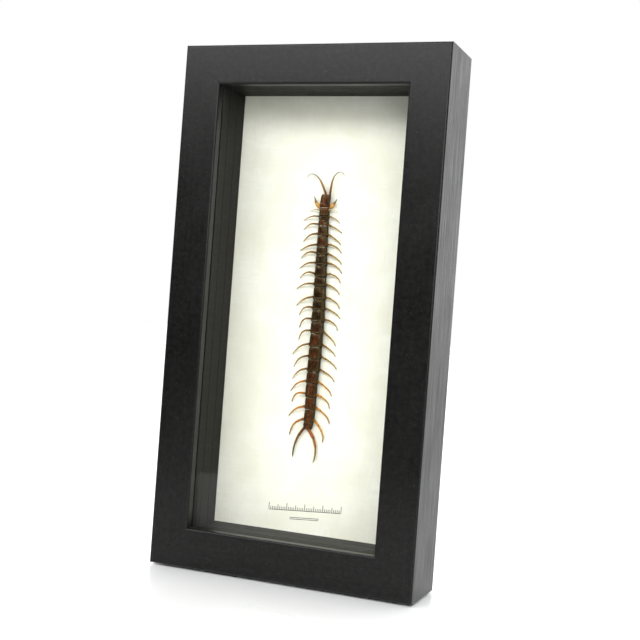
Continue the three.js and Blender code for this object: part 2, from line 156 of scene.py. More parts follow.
def clamp(value, low=0.0, high=1.0):
    return max(low, min(high, value))


def ease(low, high, value):
    """0 below low, 1 above high and a smooth rise between."""
    share = clamp((value - low) / (high - low))
    return share * share * (3 - 2 * share)


def hump(centre, reach, value):
    """A smooth bump of height 1 at centre, nearly 0 at a distance of twice reach."""
    return math.exp(-(((value - centre) / reach) ** 2))


def curve_at(stations, value):
    """A smooth curve through (place, number) stations, flat beyond its ends."""
    last = len(stations) - 1
    if value <= stations[0][0]:
        return stations[0][1]
    if value >= stations[last][0]:
        return stations[last][1]
    here = max(i for i in range(last) if stations[i][0] <= value)
    start, end = stations[here], stations[here + 1]
    span = end[0] - start[0]

    def slope(i):
        before, after = stations[max(i - 1, 0)], stations[min(i + 1, last)]
        return (after[1] - before[1]) / (after[0] - before[0]) * span

    t = (value - start[0]) / span
    return (
        start[1] * (2 * t**3 - 3 * t**2 + 1)
        + end[1] * (3 * t**2 - 2 * t**3)
        + slope(here) * (t**3 - 2 * t**2 + t)
        + slope(here + 1) * (t**3 - t**2)
    )


def rough(point, size, seed):
    """Noise from about -1 to 1 with lumps of about size mm."""
    return noise.noise(point / size + Vector((seed, 0, 0)))


def circle(count):
    """Cosine and sine of evenly spaced angles all round."""
    turns = [math.tau * i / count for i in range(count)]
    return [(math.cos(turn), math.sin(turn)) for turn in turns]


# Meshes. A shape is its points in millimetres, its faces, and four numbers a point or none at all, which
# are the zones that materials read.


def outward(mesh):
    shape = bmesh.new()
    shape.from_mesh(mesh)
    bmesh.ops.recalc_face_normals(shape, faces=shape.faces)
    shape.to_mesh(mesh)
    shape.free()


def taken_from(edited):
    """The shape of an edited mesh, which is freed."""
    edited.verts.index_update()
    points = [corner.co.copy() for corner in edited.verts]
    faces = [tuple(corner.index for corner in face.verts) for face in edited.faces]
    edited.free()
    return points, faces, []


def piece(name, shape, material, nodes=(), sharp=180):
    """A piece that rides on the one body and stands for the named solids."""
    points, faces, zones = shape
    mesh = bpy.data.meshes.new(name)
    mesh.from_pydata([point * MM for point in points], [], faces)
    outward(mesh)
    mesh.shade_smooth()
    mesh.set_sharp_from_angle(angle=math.radians(sharp))
    if zones:
        layer = mesh.color_attributes.new(name="Zone", type="FLOAT_COLOR", domain="POINT")
        layer.data.foreach_set("color", [number for zone in zones for number in zone])
    mesh.materials.append(material)
    made = bpy.data.objects.new(name, mesh)
    bpy.context.scene.collection.objects.link(made)
    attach(made, "root")
    if nodes:
        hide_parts(*nodes)


def joined(shapes):
    """Several shapes as one."""
    points, faces, zones = [], [], []
    for shape_points, shape_faces, shape_zones in shapes:
        first = len(points)
        points += shape_points
        faces += [tuple(first + i for i in face) for face in shape_faces]
        zones += shape_zones
    return points, faces, zones


def walls(rings, count, closed=False):
    """Faces between rings of count points, one ring after the other, and from the last to the first
    where they close up."""
    faces = []
    for ring in range(rings if closed else rings - 1):
        here, there = ring * count, (ring + 1) % rings * count
        for i in range(count):
            beside = (i + 1) % count
            faces.append((here + i, here + beside, there + beside, there + i))
    return faces


def loft(rings, ring_zones=()):
    """A closed shape through rings of points, with a fan over the first ring and over the last."""
    count = len(rings[0])
    points = [point for ring in rings for point in ring]
    zones = [zone for ring in ring_zones for zone in ring]
    faces = walls(len(rings), count)
    for end in (0, len(rings) - 1):
        hub = len(points)
        points.append(sum(rings[end], Vector()) / count)
        if ring_zones:
            zones.append(ring_zones[end][0])
        faces += [(hub, end * count + i, end * count + (i + 1) % count) for i in range(count)]
    return points, faces, zones


def prism(outline, *depths):
    """A closed shape with the same outline of (x, z) points at each y."""
    return loft([[Vector((x, y, z)) for x, z in outline] for y in depths])


def turned(x, y, z, profile, sides):
    """A round shape about a line along y. profile is (radius, distance behind y)."""
    return loft([
        [Vector((x + radius * a, y + behind, z + radius * b)) for a, b in circle(sides)]
        for radius, behind in profile
    ])


def sheet_with_back(rows, backs, zones):
    """A thin closed plate from a grid of points on its face and the same grid on its back."""
    high, wide = len(rows), len(rows[0])
    points = [point for row in rows + backs for point in row]
    under = high * wide
    faces = []
    for i in range(high - 1):
        for j in range(wide - 1):
            here = i * wide + j
            faces.append((here, here + 1, here + wide + 1, here + wide))
            faces.append((under + here, under + here + wide, under + here + wide + 1, under + here + 1))
    rim = list(range(wide))
    rim += [i * wide + wide - 1 for i in range(1, high)]
    rim += [(high - 1) * wide + j for j in range(wide - 2, -1, -1)]
    rim += [i * wide for i in range(high - 2, 0, -1)]
    for here, beside in zip(rim, rim[1:] + rim[:1]):
        faces.append((here, beside, under + beside, under + here))
    flat = [zone for row in zones for zone in row]
    return points, faces, flat + flat


def ball(centre, across, deep):
    """A closed ball with a radius sideways and one in depth and in height."""
    rows = 10
    rings = []
    for row in range(1, rows):
        tilt = math.pi * row / rows
        rings.append([
            centre + Vector((across * math.sin(tilt) * a, deep * math.cos(tilt), deep * math.sin(tilt) * b))
            for a, b in circle(16)
        ])
    points, faces, zones = loft(rings)
    points[-2] = centre + Vector((0, deep, 0))
    points[-1] = centre - Vector((0, deep, 0))
    return points, faces, zones


# Materials

CHITIN_TINT = (1.0, 0.78, 0.43)


class Nodes:
    """A node tree being built. Inputs are numbers, colours or the outputs of other nodes."""

    def __init__(self, tree):
        self.tree = tree

    def put(self, socket, value):
        if isinstance(value, bpy.types.NodeSocket):
            self.tree.links.new(value, socket)
        elif socket.type == "RGBA":
            socket.default_value = (*value, 1)
        else:
            socket.default_value = value

    def fill(self, node, inputs):
        """Sets a node's inputs by name. _ stands for a space."""
        for key, value in inputs.items():
            self.put(node.inputs[key.replace("_", " ")], value)

    def add(self, kind, **inputs):
        made = self.tree.nodes.new("ShaderNode" + kind)
        self.fill(made, inputs)
        return made

    def noise(self, scale, detail=4.0, roughness=0.55, distortion=0.0):
        """Noise through the piece. scale is how fast it changes in a metre, on all axes or on each."""
        scales = scale if isinstance(scale, tuple) else (scale, scale, scale)
        place = self.add("TexCoord").outputs["Object"]
        place = self.add("Mapping", Vector=place, Scale=scales).outputs["Vector"]
        texture = self.add(
            "TexNoise", Vector=place, Scale=1.0, Detail=detail, Roughness=roughness, Distortion=distortion,
        )
        return texture.outputs["Fac"]

    def remap(self, value, low, high, to_low, to_high):
        made = self.add(
            "MapRange", Value=value, From_Min=low, From_Max=high, To_Min=to_low, To_Max=to_high,
        )
        return made.outputs["Result"]

    def ramp(self, value, *stops):
        """Colours along value. stops are (place, colour)."""
        made = self.add("ValToRGB", Fac=value)
        elements = made.color_ramp.elements
        while len(elements) < len(stops):
            elements.new(0.5)
        for element, (place, colour) in zip(elements, stops):
            element.position = place
            element.color = (*colour, 1)
        return made.outputs["Color"]

    def blend(self, share, one, other, way="MIX"):
        """Two colours mixed."""
        made = self.add("Mix")
        made.data_type = "RGBA"
        made.blend_type = way
        self.put(made.inputs[0], share)
        self.put(made.inputs[6], one)
        self.put(made.inputs[7], other)
        return made.outputs[2]

    def coat(self, colour, over, value, low, high, most=1.0):
        """A colour with another laid over it, from none where value is low to most where it is high."""
        return self.blend(self.remap(value, low, high, 0.0, most), colour, over)

    def calculate(self, way, one, other=0.0):
        made = self.add("Math")
        made.operation = way
        self.put(made.inputs[0], one)
        self.put(made.inputs[1], other)
        return made.outputs[0]

    def plus(self, one, other):
        return self.calculate("ADD", one, other)

    def times(self, one, other):
        return self.calculate("MULTIPLY", one, other)

    def axes(self, direction):
        return self.add("SeparateXYZ", Vector=direction).outputs

    def crossfade(self, share, one, other):
        """One shader that changes into another."""
        both = self.add("MixShader", Fac=share)
        self.put(both.inputs[1], one.outputs[0])
        self.put(both.inputs[2], other.outputs[0])
        return both.outputs[0]


class Look(Nodes):
    """A material and its shader."""

    def __init__(self, name, **inputs):
        self.material = bpy.data.materials.new(name)
        self.material.use_nodes = True
        super().__init__(self.material.node_tree)
        self.shader = self.tree.nodes["Principled BSDF"]
        self.paint(**inputs)

    def paint(self, **inputs):
        self.fill(self.shader, inputs)

    def bump(self, height, strength, distance):
        """Relief up to a distance in mm, after any relief that the shader already has."""
        normal = self.shader.inputs["Normal"]
        made = self.add("Bump", Height=height, Strength=strength, Distance=distance * MM)
        if normal.is_linked:
            self.put(made.inputs["Normal"], normal.links[0].from_socket)
        self.put(normal, made.outputs["Normal"])

    def zones(self):
        """The first three numbers that a piece's points carry."""
        zone = self.add("Attribute")
        zone.attribute_name = "Zone"
        return self.add("SeparateColor", Color=zone.outputs["Color"]).outputs[:3]


def painted_wood(name, grain):
    """Satin black paint over straight grain, which shows on the outer sides and hardly on the face.
    grain is how fast the grain changes along each axis."""
    look = Look(name, Specular_IOR_Level=0.22)
    lines = look.noise(grain, 6.0, 0.66, 0.2)
    pores = look.noise(tuple(number * 3.2 for number in grain), 3.0, 0.7)
    patches = look.noise(38, 3.0, 0.5)
    pebbles = look.noise(420, 5.0, 0.7)
    dust = look.noise(1300, 2.0, 0.5)
    facing = look.axes(look.add("NewGeometry").outputs["Normal"])["Y"]
    across, _, up = look.axes(look.add("TexCoord").outputs["Object"])
    from_middle = look.calculate("ABSOLUTE", look.calculate("SUBTRACT", up, CASE_HEIGHT / 2 * MM))
    # Widened so that the case's sides are about as far from its middle as its ends are
    widened = look.times(look.calculate("ABSOLUTE", across), 2.15)
    outer = look.remap(look.calculate("MAXIMUM", from_middle, widened), 0.116, 0.12, 0.0, 1.0)
    sideways = look.remap(look.calculate("ABSOLUTE", facing), 0.3, 0.7, 1.0, 0.0)
    side = look.times(sideways, outer)
    mottle = look.plus(look.remap(lines, 0.0, 1.0, 0.0, 0.3), look.remap(pebbles, 0.0, 1.0, 0.0, 0.7))
    face_paint = look.ramp(mottle, (0.38, (0.0008, 0.0008, 0.0008)), (0.62, (0.0076, 0.0076, 0.0072)))
    side_paint = look.ramp(lines, (0.42, (0.001, 0.001, 0.001)), (0.6, (0.013, 0.0145, 0.0138)))
    colour = look.blend(side, face_paint, side_paint)
    colour = look.coat(colour, (0.038, 0.038, 0.035), dust, 0.65, 0.74, 0.7)
    satin = look.remap(patches, 0.3, 0.7, 0.27, 0.33)
    streaky = look.times(side, look.remap(lines, 0.35, 0.65, -0.06, 0.2))
    look.paint(Base_Color=colour, Roughness=look.plus(satin, streaky))
    look.bump(look.times(lines, look.remap(side, 0.0, 1.0, 0.15, 1.0)), 0.5, 0.12)
    look.bump(pebbles, 0.25, 0.05)
    look.bump(pores, 0.1, 0.03)
    return look.material


def card_paper():
    """Ivory card with a fine laid texture and loose fibres."""
    look = Look("card_paper", Roughness=0.9, Specular_IOR_Level=0.25)
    fibres = look.noise(900, 8.0, 0.7, 0.6)
    weave = look.plus(look.noise((120, 400, 1700), 3.0, 0.6), look.noise((1700, 400, 120), 3.0, 0.6))
    colour = look.ramp(look.noise(45, 4.0, 0.6), (0.32, (0.805, 0.79, 0.67)), (0.66, (0.895, 0.882, 0.8)))
    colour = look.coat(colour, (0.73, 0.715, 0.63), weave, 0.85, 1.2, 0.4)
    colour = look.coat(colour, (0.7, 0.68, 0.58), fibres, 0.62, 0.75, 0.25)
    look.paint(Base_Color=colour)
    look.bump(weave, 0.2, 0.03)
    look.bump(fibres, 0.25, 0.03)
    return look.material


def black_paper():
    """Matt black paper over foam board, a little brown where it is worn."""
    look = Look("black_paper", Specular_IOR_Level=0.25)
    fibres = look.noise((600, 160, 600), 8.0, 0.7, 0.5)
    colour = look.ramp(fibres, (0.3, (0.0045, 0.0041, 0.0032)), (0.75, (0.0095, 0.0086, 0.0066)))
    look.paint(Base_Color=colour, Roughness=look.remap(fibres, 0.3, 0.7, 0.56, 0.7))
    look.bump(look.noise((22, 900, 22), 4.0, 0.6), 0.4, 0.08)
    look.bump(fibres, 0.4, 0.05)
    return look.material


def hardboard():
    """Smooth brown hardboard with dark flecks."""
    look = Look("hardboard", Specular_IOR_Level=0.4)
    flecks = look.noise(420, 8.0, 0.72, 0.8)
    colour = look.ramp(look.noise(30, 4.0, 0.6), (0.3, (0.19, 0.105, 0.048)), (0.7, (0.27, 0.16, 0.08)))
    colour = look.coat(colour, (0.075, 0.04, 0.018), flecks, 0.56, 0.7, 0.7)
    look.paint(Base_Color=colour, Roughness=look.remap(flecks, 0.3, 0.7, 0.5, 0.68))
    look.bump(flecks, 0.35, 0.05)
    return look.material


def zinc_steel():
    """Bright plated steel with rolling lines and dull spots."""
    look = Look("zinc_steel", Metallic=1.0)
    lines = look.noise((60, 900, 2600), 5.0, 0.6)
    spots = look.noise(260, 5.0, 0.65)
    colour = look.ramp(spots, (0.35, (0.4, 0.385, 0.36)), (0.65, (0.62, 0.605, 0.57)))
    look.paint(Base_Color=colour, Roughness=look.remap(lines, 0.3, 0.7, 0.24, 0.42))
    look.bump(lines, 0.3, 0.02)
    return look.material


def window_glass():
    """Clear float glass that lets light through and mirrors a little where the light enters it, more at
    a slant."""
    look = Look("window_glass")
    look.tree.nodes.remove(look.shader)
    smudges = look.remap(look.noise(25, 5.0, 0.6), 0.35, 0.7, 0.01, 0.05)
    clear = look.add("BsdfTransparent", Color=(0.985, 0.992, 0.985))
    mirror = look.add("BsdfGlossy", Color=(1, 1, 1), Roughness=smudges)
    entering = look.calculate("SUBTRACT", 1.0, look.add("NewGeometry").outputs["Backfacing"])
    mirrored = look.times(look.add("Fresnel", IOR=1.33).outputs["Fac"], entering)
    look.fill(look.tree.nodes["Material Output"], {"Surface": look.crossfade(mirrored, clear, mirror)})
    return look.material


def plain_ink():
    """Printer's ink, a little uneven."""
    look = Look("ink", Roughness=0.7)
    wear = look.noise(1800, 4.0, 0.6)
    look.paint(Base_Color=look.ramp(wear, (0.3, (0.03, 0.028, 0.025)), (0.75, (0.085, 0.08, 0.07))))
    return look.material


def felt():
    """Black felt with a soft nap."""
    look = Look("felt", Roughness=0.95, Sheen_Weight=0.4)
    nap = look.noise(2200, 6.0, 0.75)
    look.paint(Base_Color=look.ramp(nap, (0.3, (0.012, 0.012, 0.012)), (0.7, (0.045, 0.045, 0.043))))
    look.bump(nap, 0.8, 0.15)
    return look.material


def plate_shell(name, red, bright, dark, margin):
    """Dark glossy chitin, reddish along the middle, with small pale grey spots painted on as glints. A
    point's zone holds its distance from the middle of the plate, its place along the plate, and how red the
    plate is."""
    look = Look(
        name, Specular_IOR_Level=0.15, Specular_Tint=CHITIN_TINT, Coat_Weight=0.03, Coat_Roughness=0.16,
        Coat_Tint=CHITIN_TINT,
    )
    out, along, own = look.zones()
    streaks = look.noise((1900, 900, 230), 5.0, 0.6, 0.6)
    blotches = look.noise((520, 520, 380), 4.0, 0.62, 1.0)
    # Small pale grey spots laid over the chitin: painted glints.
    painted_glints = look.noise((760, 760, 480), 4.0, 0.65, 0.8)
    soot = look.plus(streaks, look.remap(own, 0.0, 1.0, 0.2, -0.16))
    edge = look.plus(out, look.remap(blotches, 0.3, 0.7, -0.3, 0.3))
    rear = look.plus(along, look.remap(streaks, 0.3, 0.7, -0.07, 0.07))
    colour = look.coat(red, bright, blotches, 0.45, 0.66)
    colour = look.coat(colour, dark, soot, 0.42, 0.55, 0.92)
    colour = look.coat(colour, margin, edge, 0.42, 0.75)
    # Painted glints: pale grey spots where the noise is high.
    colour = look.coat(colour, (0.2, 0.16, 0.1), painted_glints, 0.6, 0.68, 0.65)
    colour = look.coat(colour, margin, rear, 0.86, 0.96, 0.85)
    polish = look.remap(blotches, 0.3, 0.7, 0.22, 0.36)
    look.paint(Base_Color=colour, Roughness=look.plus(polish, look.remap(out, 0.6, 0.95, 0.0, 0.16)))
    look.bump(streaks, 0.45, 0.04)
    look.bump(look.noise(5200, 2.0, 0.5), 0.3, 0.014)
    return look.material


def body_membrane():
    """The soft skin between the plates: pale olive across the back, with its palest spots painted on as
    glints, and dark and wrinkled on the sides. A point's zone holds its distance from the middle, and how
    near it is to a band and to the neck."""
    look = Look("membrane", Specular_IOR_Level=0.22, Specular_Tint=CHITIN_TINT, Coat_Weight=0.03)
    out, band, neck = look.zones()
    wrinkles = look.noise((900, 900, 3000), 6.0, 0.65, 0.5)
    blotches = look.noise(350, 4.0, 0.6)
    dark = look.ramp(blotches, (0.3, (0.01, 0.007, 0.0028)), (0.7, (0.028, 0.019, 0.0075)))
    # The darker and middle stops are the membrane's own olive; the palest stop is painted glints.
    light = look.ramp(
        blotches, (0.44, (0.014, 0.0115, 0.005)), (0.53, (0.07, 0.058, 0.032)), (0.62, (0.4, 0.36, 0.27)),
    )
    colour = look.blend(look.remap(out, 0.55, 0.9, 1.0, 0.0), dark, light)
    colour = look.blend(neck, look.blend(band, dark, colour), (0.38, 0.3, 0.23))
    look.paint(Base_Color=colour, Roughness=look.remap(wrinkles, 0.3, 0.7, 0.32, 0.55))
    look.bump(wrinkles, 0.6, 0.05)
    return look.material


def limb_shell(name, joint, *stops):
    """Chitin of a limb. A point's zone holds its share of the length, how near it is to a joint, and a
    number for the limb. stops are the colours from root to tip."""
    look = Look(
        name, Specular_IOR_Level=0.4, Specular_Tint=CHITIN_TINT, Coat_Weight=0.12, Coat_Roughness=0.2,
        Coat_Tint=CHITIN_TINT, Subsurface_Weight=0.12, Subsurface_Scale=0.4 * MM,
    )
    share, near, own = look.zones()
    streaks = look.noise((1500, 1500, 700), 5.0, 0.62, 0.5)
    colour = look.ramp(look.plus(share, look.remap(streaks, 0.3, 0.7, -0.06, 0.06)), *stops)
    darker = look.blend(1.0, colour, (0.45, 0.38, 0.3), "MULTIPLY")
    # A higher number darkens the limb. For the legs it also carries the painted shade on the left side.
    colour = look.blend(look.times(own, 0.35), colour, darker)
    colour = look.coat(colour, darker, streaks, 0.5, 0.72, 0.4)
    colour = look.blend(near, colour, joint)
    look.paint(Base_Color=colour, Roughness=look.remap(streaks, 0.3, 0.7, 0.27, 0.45))
    look.bump(streaks, 0.3, 0.02)
    return look.material


def eye_shell():
    """Wet-looking black of the simple eyes."""
    look = Look("eye", Coat_Weight=0.6, Coat_Roughness=0.05)
    tint = look.noise(1800, 2.0, 0.5)
    colour = look.ramp(tint, (0.3, (0.006, 0.005, 0.004)), (0.7, (0.02, 0.014, 0.01)))
    look.paint(Base_Color=colour, Roughness=look.remap(tint, 0.3, 0.7, 0.1, 0.2))
    return look.material


# Case

# How fast the wood grain changes in a metre along x, y and z
UPRIGHT_GRAIN = (900, 900, 26)
LEVEL_GRAIN = (26, 900, 900)

# Radius and distance behind the hanger or the rail
NAIL_HEAD = ((1.05, -1.6), (1.05, -0.05), (2.1, 0.0), (2.2, 0.12), (1.9, 0.27), (1.2, 0.37), (0.5, 0.42))
FELT_DOT = ((4.7, 0.03), (4.9, 0.2), (4.9, 0.7), (4.6, 0.92), (4.0, 1.0))


def rounded(corner, start, radius, turn, steps):
    """Points of an arc round a corner, from the angle start and through turn, both in degrees."""
    angles = [math.radians(start + turn * step / steps) for step in range(steps + 1)]
    return [(corner[0] + radius * math.cos(a), corner[1] + radius * math.sin(a)) for a in angles]


def moulding_profile():
    """Points (across from the outside, depth) round the moulding's section."""
    edge, back, lip, near = EDGE_RADIUS, BACK_EDGE_RADIUS, 0.3, 0.12
    return [
        (0, edge + near),
        *rounded((edge, edge), 180, edge, 90, 8),
        (edge + near, 0), (FACE_WIDTH - edge - near, 0),
        *rounded((FACE_WIDTH - edge, edge), 270, edge, 90, 8),
        (FACE_WIDTH, edge + near), (FACE_WIDTH, LIP_DEPTH - lip - near),
        *rounded((FACE_WIDTH - lip, LIP_DEPTH - lip), 0, lip, 90, 4),
        (FACE_WIDTH - lip - near, LIP_DEPTH), (RAIL_THICKNESS, LIP_DEPTH),
        (RAIL_THICKNESS, CASE_DEPTH - back - near),
        *rounded((RAIL_THICKNESS - back, CASE_DEPTH - back), 0, back, 90, 4),
        (RAIL_THICKNESS - back - near, CASE_DEPTH), (back + near, CASE_DEPTH),
        *rounded((back, CASE_DEPTH - back), 90, back, 90, 4),
        (0, CASE_DEPTH - back - near),
    ]


def rail(node, length, place, material):
    """A mitred rail. place(across, along) gives x and z."""
    ends = []
    for start, way in ((0, 1), (length, -1)):
        for across, depth in moulding_profile():
            x, z = place(across, start + way * (across + MITRE_SETBACK))
            ends.append(Vector((x, at_depth(depth), z)))
    count = len(ends) // 2
    faces = walls(2, count) + [tuple(range(count)), tuple(range(count, 2 * count))]
    piece(f"wood_{node}", (ends, faces, []), material, [node], sharp=40)


def slab(name, node, front_depth, thickness, bevel, material):
    """A flat board with softened edges, as wide and high as the rabbet lets it be."""
    block = bmesh.new()
    bmesh.ops.create_cube(block, size=1.0)
    for corner in block.verts:
        corner.co = Vector((
            corner.co.x * INNER_WIDTH,
            at_depth(front_depth + thickness * (corner.co.y + 0.5)),
            CASE_HEIGHT / 2 + corner.co.z * INNER_HEIGHT,
        ))
    bmesh.ops.bevel(
        block, geom=list(block.edges), offset=bevel, segments=3, profile=0.5, affect="EDGES",
    )
    piece(name, taken_from(block), material, [node], sharp=10)


def liner_profile():
    """Points (inward from the outside, depth) round a liner strip, with two pressed lines on its face."""
    edge, near, inside = 0.35, 0.06, LINER_THICKNESS
    pressed, half_line = 0.14, 0.22
    face = []
    for line in PRESSED_LINES:
        face += [(inside, line - half_line), (inside - pressed, line), (inside, line + half_line)]
    return [
        (0, LINER_FRONT), (inside - edge - near, LINER_FRONT),
        *rounded((inside - edge, LINER_FRONT + edge), 270, edge, 90, 5),
        (inside, LINER_FRONT + edge + near), *face, (inside, LINER_BACK - edge - near),
        *rounded((inside - edge, LINER_BACK - edge), 0, edge, 90, 5),
        (inside - edge - near, LINER_BACK), (0, LINER_BACK),
    ]


def build_liner(material):
    profile = liner_profile()
    points = []
    for right, up in ((-1, -1), (1, -1), (1, 1), (-1, 1)):
        for inward, depth in profile:
            x = right * (INNER_WIDTH / 2 - inward)
            z = CASE_HEIGHT / 2 + up * (INNER_HEIGHT / 2 - inward)
            points.append(Vector((x, at_depth(depth), z)))
    shape = (points, walls(4, len(profile), closed=True), [])
    piece("case_liner", shape, material, ["liner"], sharp=30)


def strip_outline():
    """The hanger's outline from its lower left corner, with teeth along the lower edge."""
    tooth, tooth_height = 3, 1.5
    end = HANGER_LENGTH / 2
    half = math.floor((end - HANGER_HEIGHT) / tooth) * tooth
    outline = [(-end, 0), (-half, 0)]
    for start in range(-half, half, tooth):
        outline += [(start + tooth / 2, tooth_height), (start + tooth, 0)]
    return outline + [(end, 0), (end, HANGER_HEIGHT), (-end, HANGER_HEIGHT)]


def filled_strip(loops, thickness, bevel):
    """The shape of a flat strip between its outline and its holes. It lies in x and y."""
    curve = bpy.data.curves.new("hanger_outline", "CURVE")
    curve.dimensions = "2D"
    curve.fill_mode = "BOTH"
    curve.extrude = thickness / 2 - bevel
    curve.bevel_depth = bevel
    curve.bevel_resolution = 2
    for loop in loops:
        spline = curve.splines.new("POLY")
        spline.points.add(len(loop) - 1)
        spline.use_cyclic_u = True
        for point, (x, z) in zip(spline.points, loop):
            point.co = (x, z, 0, 1)
    holder = bpy.data.objects.new("hanger_outline", curve)
    bpy.context.scene.collection.objects.link(holder)
    bpy.context.view_layer.update()
    mesh = bpy.data.meshes.new_from_object(holder.evaluated_get(bpy.context.evaluated_depsgraph_get()))
    bpy.data.objects.remove(holder)
    merged = bmesh.new()
    merged.from_mesh(mesh)
    bpy.data.meshes.remove(mesh)
    bmesh.ops.remove_doubles(merged, verts=merged.verts, dist=1e-4)
    return taken_from(merged)


def build_hanger(steel):
    """The toothed strip, a little thinner than its place so that its two nail heads fit in too."""
    thickness, hole_radius = 0.55, 1.2
    front = CASE_DEPTH + 0.05
    foot = CASE_HEIGHT - (RAIL_THICKNESS + HANGER_HEIGHT) / 2
    half = HANGER_HEIGHT / 2
    nails = [(side * (HANGER_LENGTH / 2 - half), half) for side in (-1, 1)]
    holes = [[(x + a, z + b) for a, b in rounded((0, 0), 0, hole_radius, 345, 23)] for x, z in nails]
    flat, faces, zones = filled_strip([strip_outline(), *holes], thickness, bevel=0.08)
    middle = at_depth(front + thickness / 2)
    points = [Vector((point.x, middle + point.z, foot + point.y)) for point in flat]
    piece("wall_hanger", (points, faces, zones), steel, ["hanger"], sharp=35)
    back = at_depth(front + thickness)
    heads = [turned(x, back, foot + z, NAIL_HEAD, 24) for x, z in nails]
    piece("hanger_nails", joined(heads), steel, sharp=40)


def build_points(steel):
    """Flat steel points driven into the rails, which hold the back panel in."""
    length, half, driven_in, thickness = 11, 2.5, 2, 0.2
    outline = (
        (0, -half), (length - 3, -half), (length - 0.8, -0.4 * half), (length, 0),
        (length - 0.8, 0.4 * half), (length - 3, half), (0, half),
    )
    front = at_depth(PANEL_DEPTH + PANEL_THICKNESS + 0.03)
    half_w, half_h = CASE_WIDTH / 2 - RAIL_THICKNESS, CASE_HEIGHT / 2 - RAIL_THICKNESS
    middle = CASE_HEIGHT / 2
    places = [(side * half_w, middle + up, side, 0) for side in (-1, 1) for up in (-75, 0, 75)]
    places += [(x, middle + side * half_h, 0, side) for side in (-1, 1) for x in (-28, 28)]
    shapes = []
    for x, z, right, up in places:
        laid = [
            (x - right * (inward - driven_in) + up * across, z - up * (inward - driven_in) - right * across)
            for inward, across in outline
        ]
        shapes.append(prism(laid, front, front + thickness))
    piece("panel_points", joined(shapes), steel, sharp=30)


def build_feet(material):
    """Two felt dots low on the back, which keep the case off the wall."""
    reach, height = CASE_WIDTH / 2 - 7, 9
    dots = [turned(side * reach, at_depth(CASE_DEPTH), height, FELT_DOT, 40) for side in (-1, 1)]
    piece("felt_dots", joined(dots), material, sharp=45)


def build_scale(material):
    """A plain millimetre scale below the specimen, with no figures, and a short rule under it."""
    left, foot, stroke = SCALE_LEFT, SCALE_FOOT, 0.32
    bars = [(left, left + SCALE_LENGTH, foot, foot + stroke)]
    for i in range(SCALE_LENGTH + 1):
        height = 3.8 if i % 10 == 0 else 2.8 if i % 5 == 0 else 1.8
        bars.append((left + i - stroke / 2, left + i + stroke / 2, foot + stroke, foot + height))
    middle, rule_half = left + SCALE_LENGTH / 2, 8
    for drop in (3.6, 4.4):
        bars.append((middle - rule_half, middle + rule_half, foot - drop, foot - drop + stroke))
    shapes = []
    for low_x, high_x, low_z, high_z in bars:
        corners = ((low_x, low_z), (high_x, low_z), (high_x, high_z), (low_x, high_z))
        askew = [(x, z + SCALE_SLOPE * (x - left)) for x, z in corners]
        shapes.append(prism(askew, above_card(0.002), above_card(0.03)))
    piece("scale_marks", joined(shapes), material, sharp=30)


def build_case():
    upright = painted_wood("black_wood_upright", UPRIGHT_GRAIN)
    level = painted_wood("black_wood_level", LEVEL_GRAIN)
    half = CASE_WIDTH / 2
    rail("rail_left", CASE_HEIGHT, lambda across, along: (across - half, along), upright)
    rail("rail_right", CASE_HEIGHT, lambda across, along: (half - across, along), upright)
    rail("rail_top", CASE_WIDTH, lambda across, along: (along - half, CASE_HEIGHT - across), level)
    rail("rail_bottom", CASE_WIDTH, lambda across, along: (along - half, across), level)
    slab("glass_pane", "glass", GLASS_DEPTH, GLASS_THICKNESS, 0.15, window_glass())
    slab("ivory_card", "card", CARD_DEPTH, CARD_THICKNESS, 0.1, card_paper())
    slab("panel_board", "back_panel", PANEL_DEPTH, PANEL_THICKNESS, 0.25, hardboard())
    build_liner(black_paper())
    steel = zinc_steel()
    build_hanger(steel)
    build_points(steel)
    build_feet(felt())
    build_scale(plain_ink())


# Trunk

# Shares of the full width and height along a segment, and along the last one
WIDTHS = ((0, 0.92), (0.02, 0.93), (0.2, 0.98), (0.48, 1), (0.78, 1), (0.95, 1.03), (1, 0.98))
HEIGHTS = ((0, 0.91), (0.02, 0.92), (0.2, 0.98), (0.48, 1), (0.78, 1), (0.95, 1.04), (1, 0.98))
LAST_WIDTHS = ((0, 0.92), (0.02, 0.93), (0.2, 0.97), (0.55, 0.93), (0.85, 0.8), (1, 0.55))
LAST_HEIGHTS = ((0, 0.91), (0.02, 0.92), (0.2, 0.98), (0.55, 0.95), (0.85, 0.85), (1, 0.6))

# Right half of the section from the middle of the back to the middle of the belly, as shares of the
# half width and of the height
SKIN_SECTION = (
    (0, 1), (0.3, 0.985), (0.6, 0.925), (0.83, 0.82), (0.95, 0.68), (0.96, 0.57), (0.9, 0.47),
    (0.97, 0.34), (0.84, 0.12), (0.6, 0.02), (0.3, 0), (0, 0),
)
BACK_CURVE = (
    (0, 1), (0.2, 0.994), (0.38, 0.968), (0.55, 0.937), (0.72, 0.888), (0.85, 0.815), (0.92, 0.75),
    (0.97, 0.69),
)
HALF_RING = 32
BAND = 0.46
PLATE_THICKNESS = 0.14
GROOVE = 0.32
OUT_STATIONS = (
    0, 0.1, 0.2, 0.265, 0.295, 0.32, 0.345, 0.375, 0.44, 0.53, 0.62, 0.71, 0.79, 0.855, 0.9, 0.935, 0.96,
    0.98, 0.992, 1,
)
ALONG_STATIONS = (
    0, 0.008, 0.022, 0.05, 0.09, 0.15, 0.23, 0.32, 0.42, 0.52, 0.62, 0.71, 0.79, 0.86, 0.91, 0.945, 0.97,
    0.986, 0.995, 1,
)


def middle_at(z):
    return curve_at(MIDDLE_LINE, z)


def trunk_width(z):
    along = clamp((TRUNK_FRONT - z) / (TRUNK_FRONT - TRUNK_REAR))
    return NARROWEST_TRUNK + TRUNK_SWELLING * math.sin(math.pi * along**1.2) ** 1.3


def tergite_at(z):
    """The number of the tergite at a height, from 0, and the share of its length there."""
    for number, rear in enumerate(TERGITE_REARS):
        if z >= rear or number == TERGITES - 1:
            return number, clamp((rear + TERGITE_LENGTHS[number] - z) / TERGITE_LENGTHS[number])


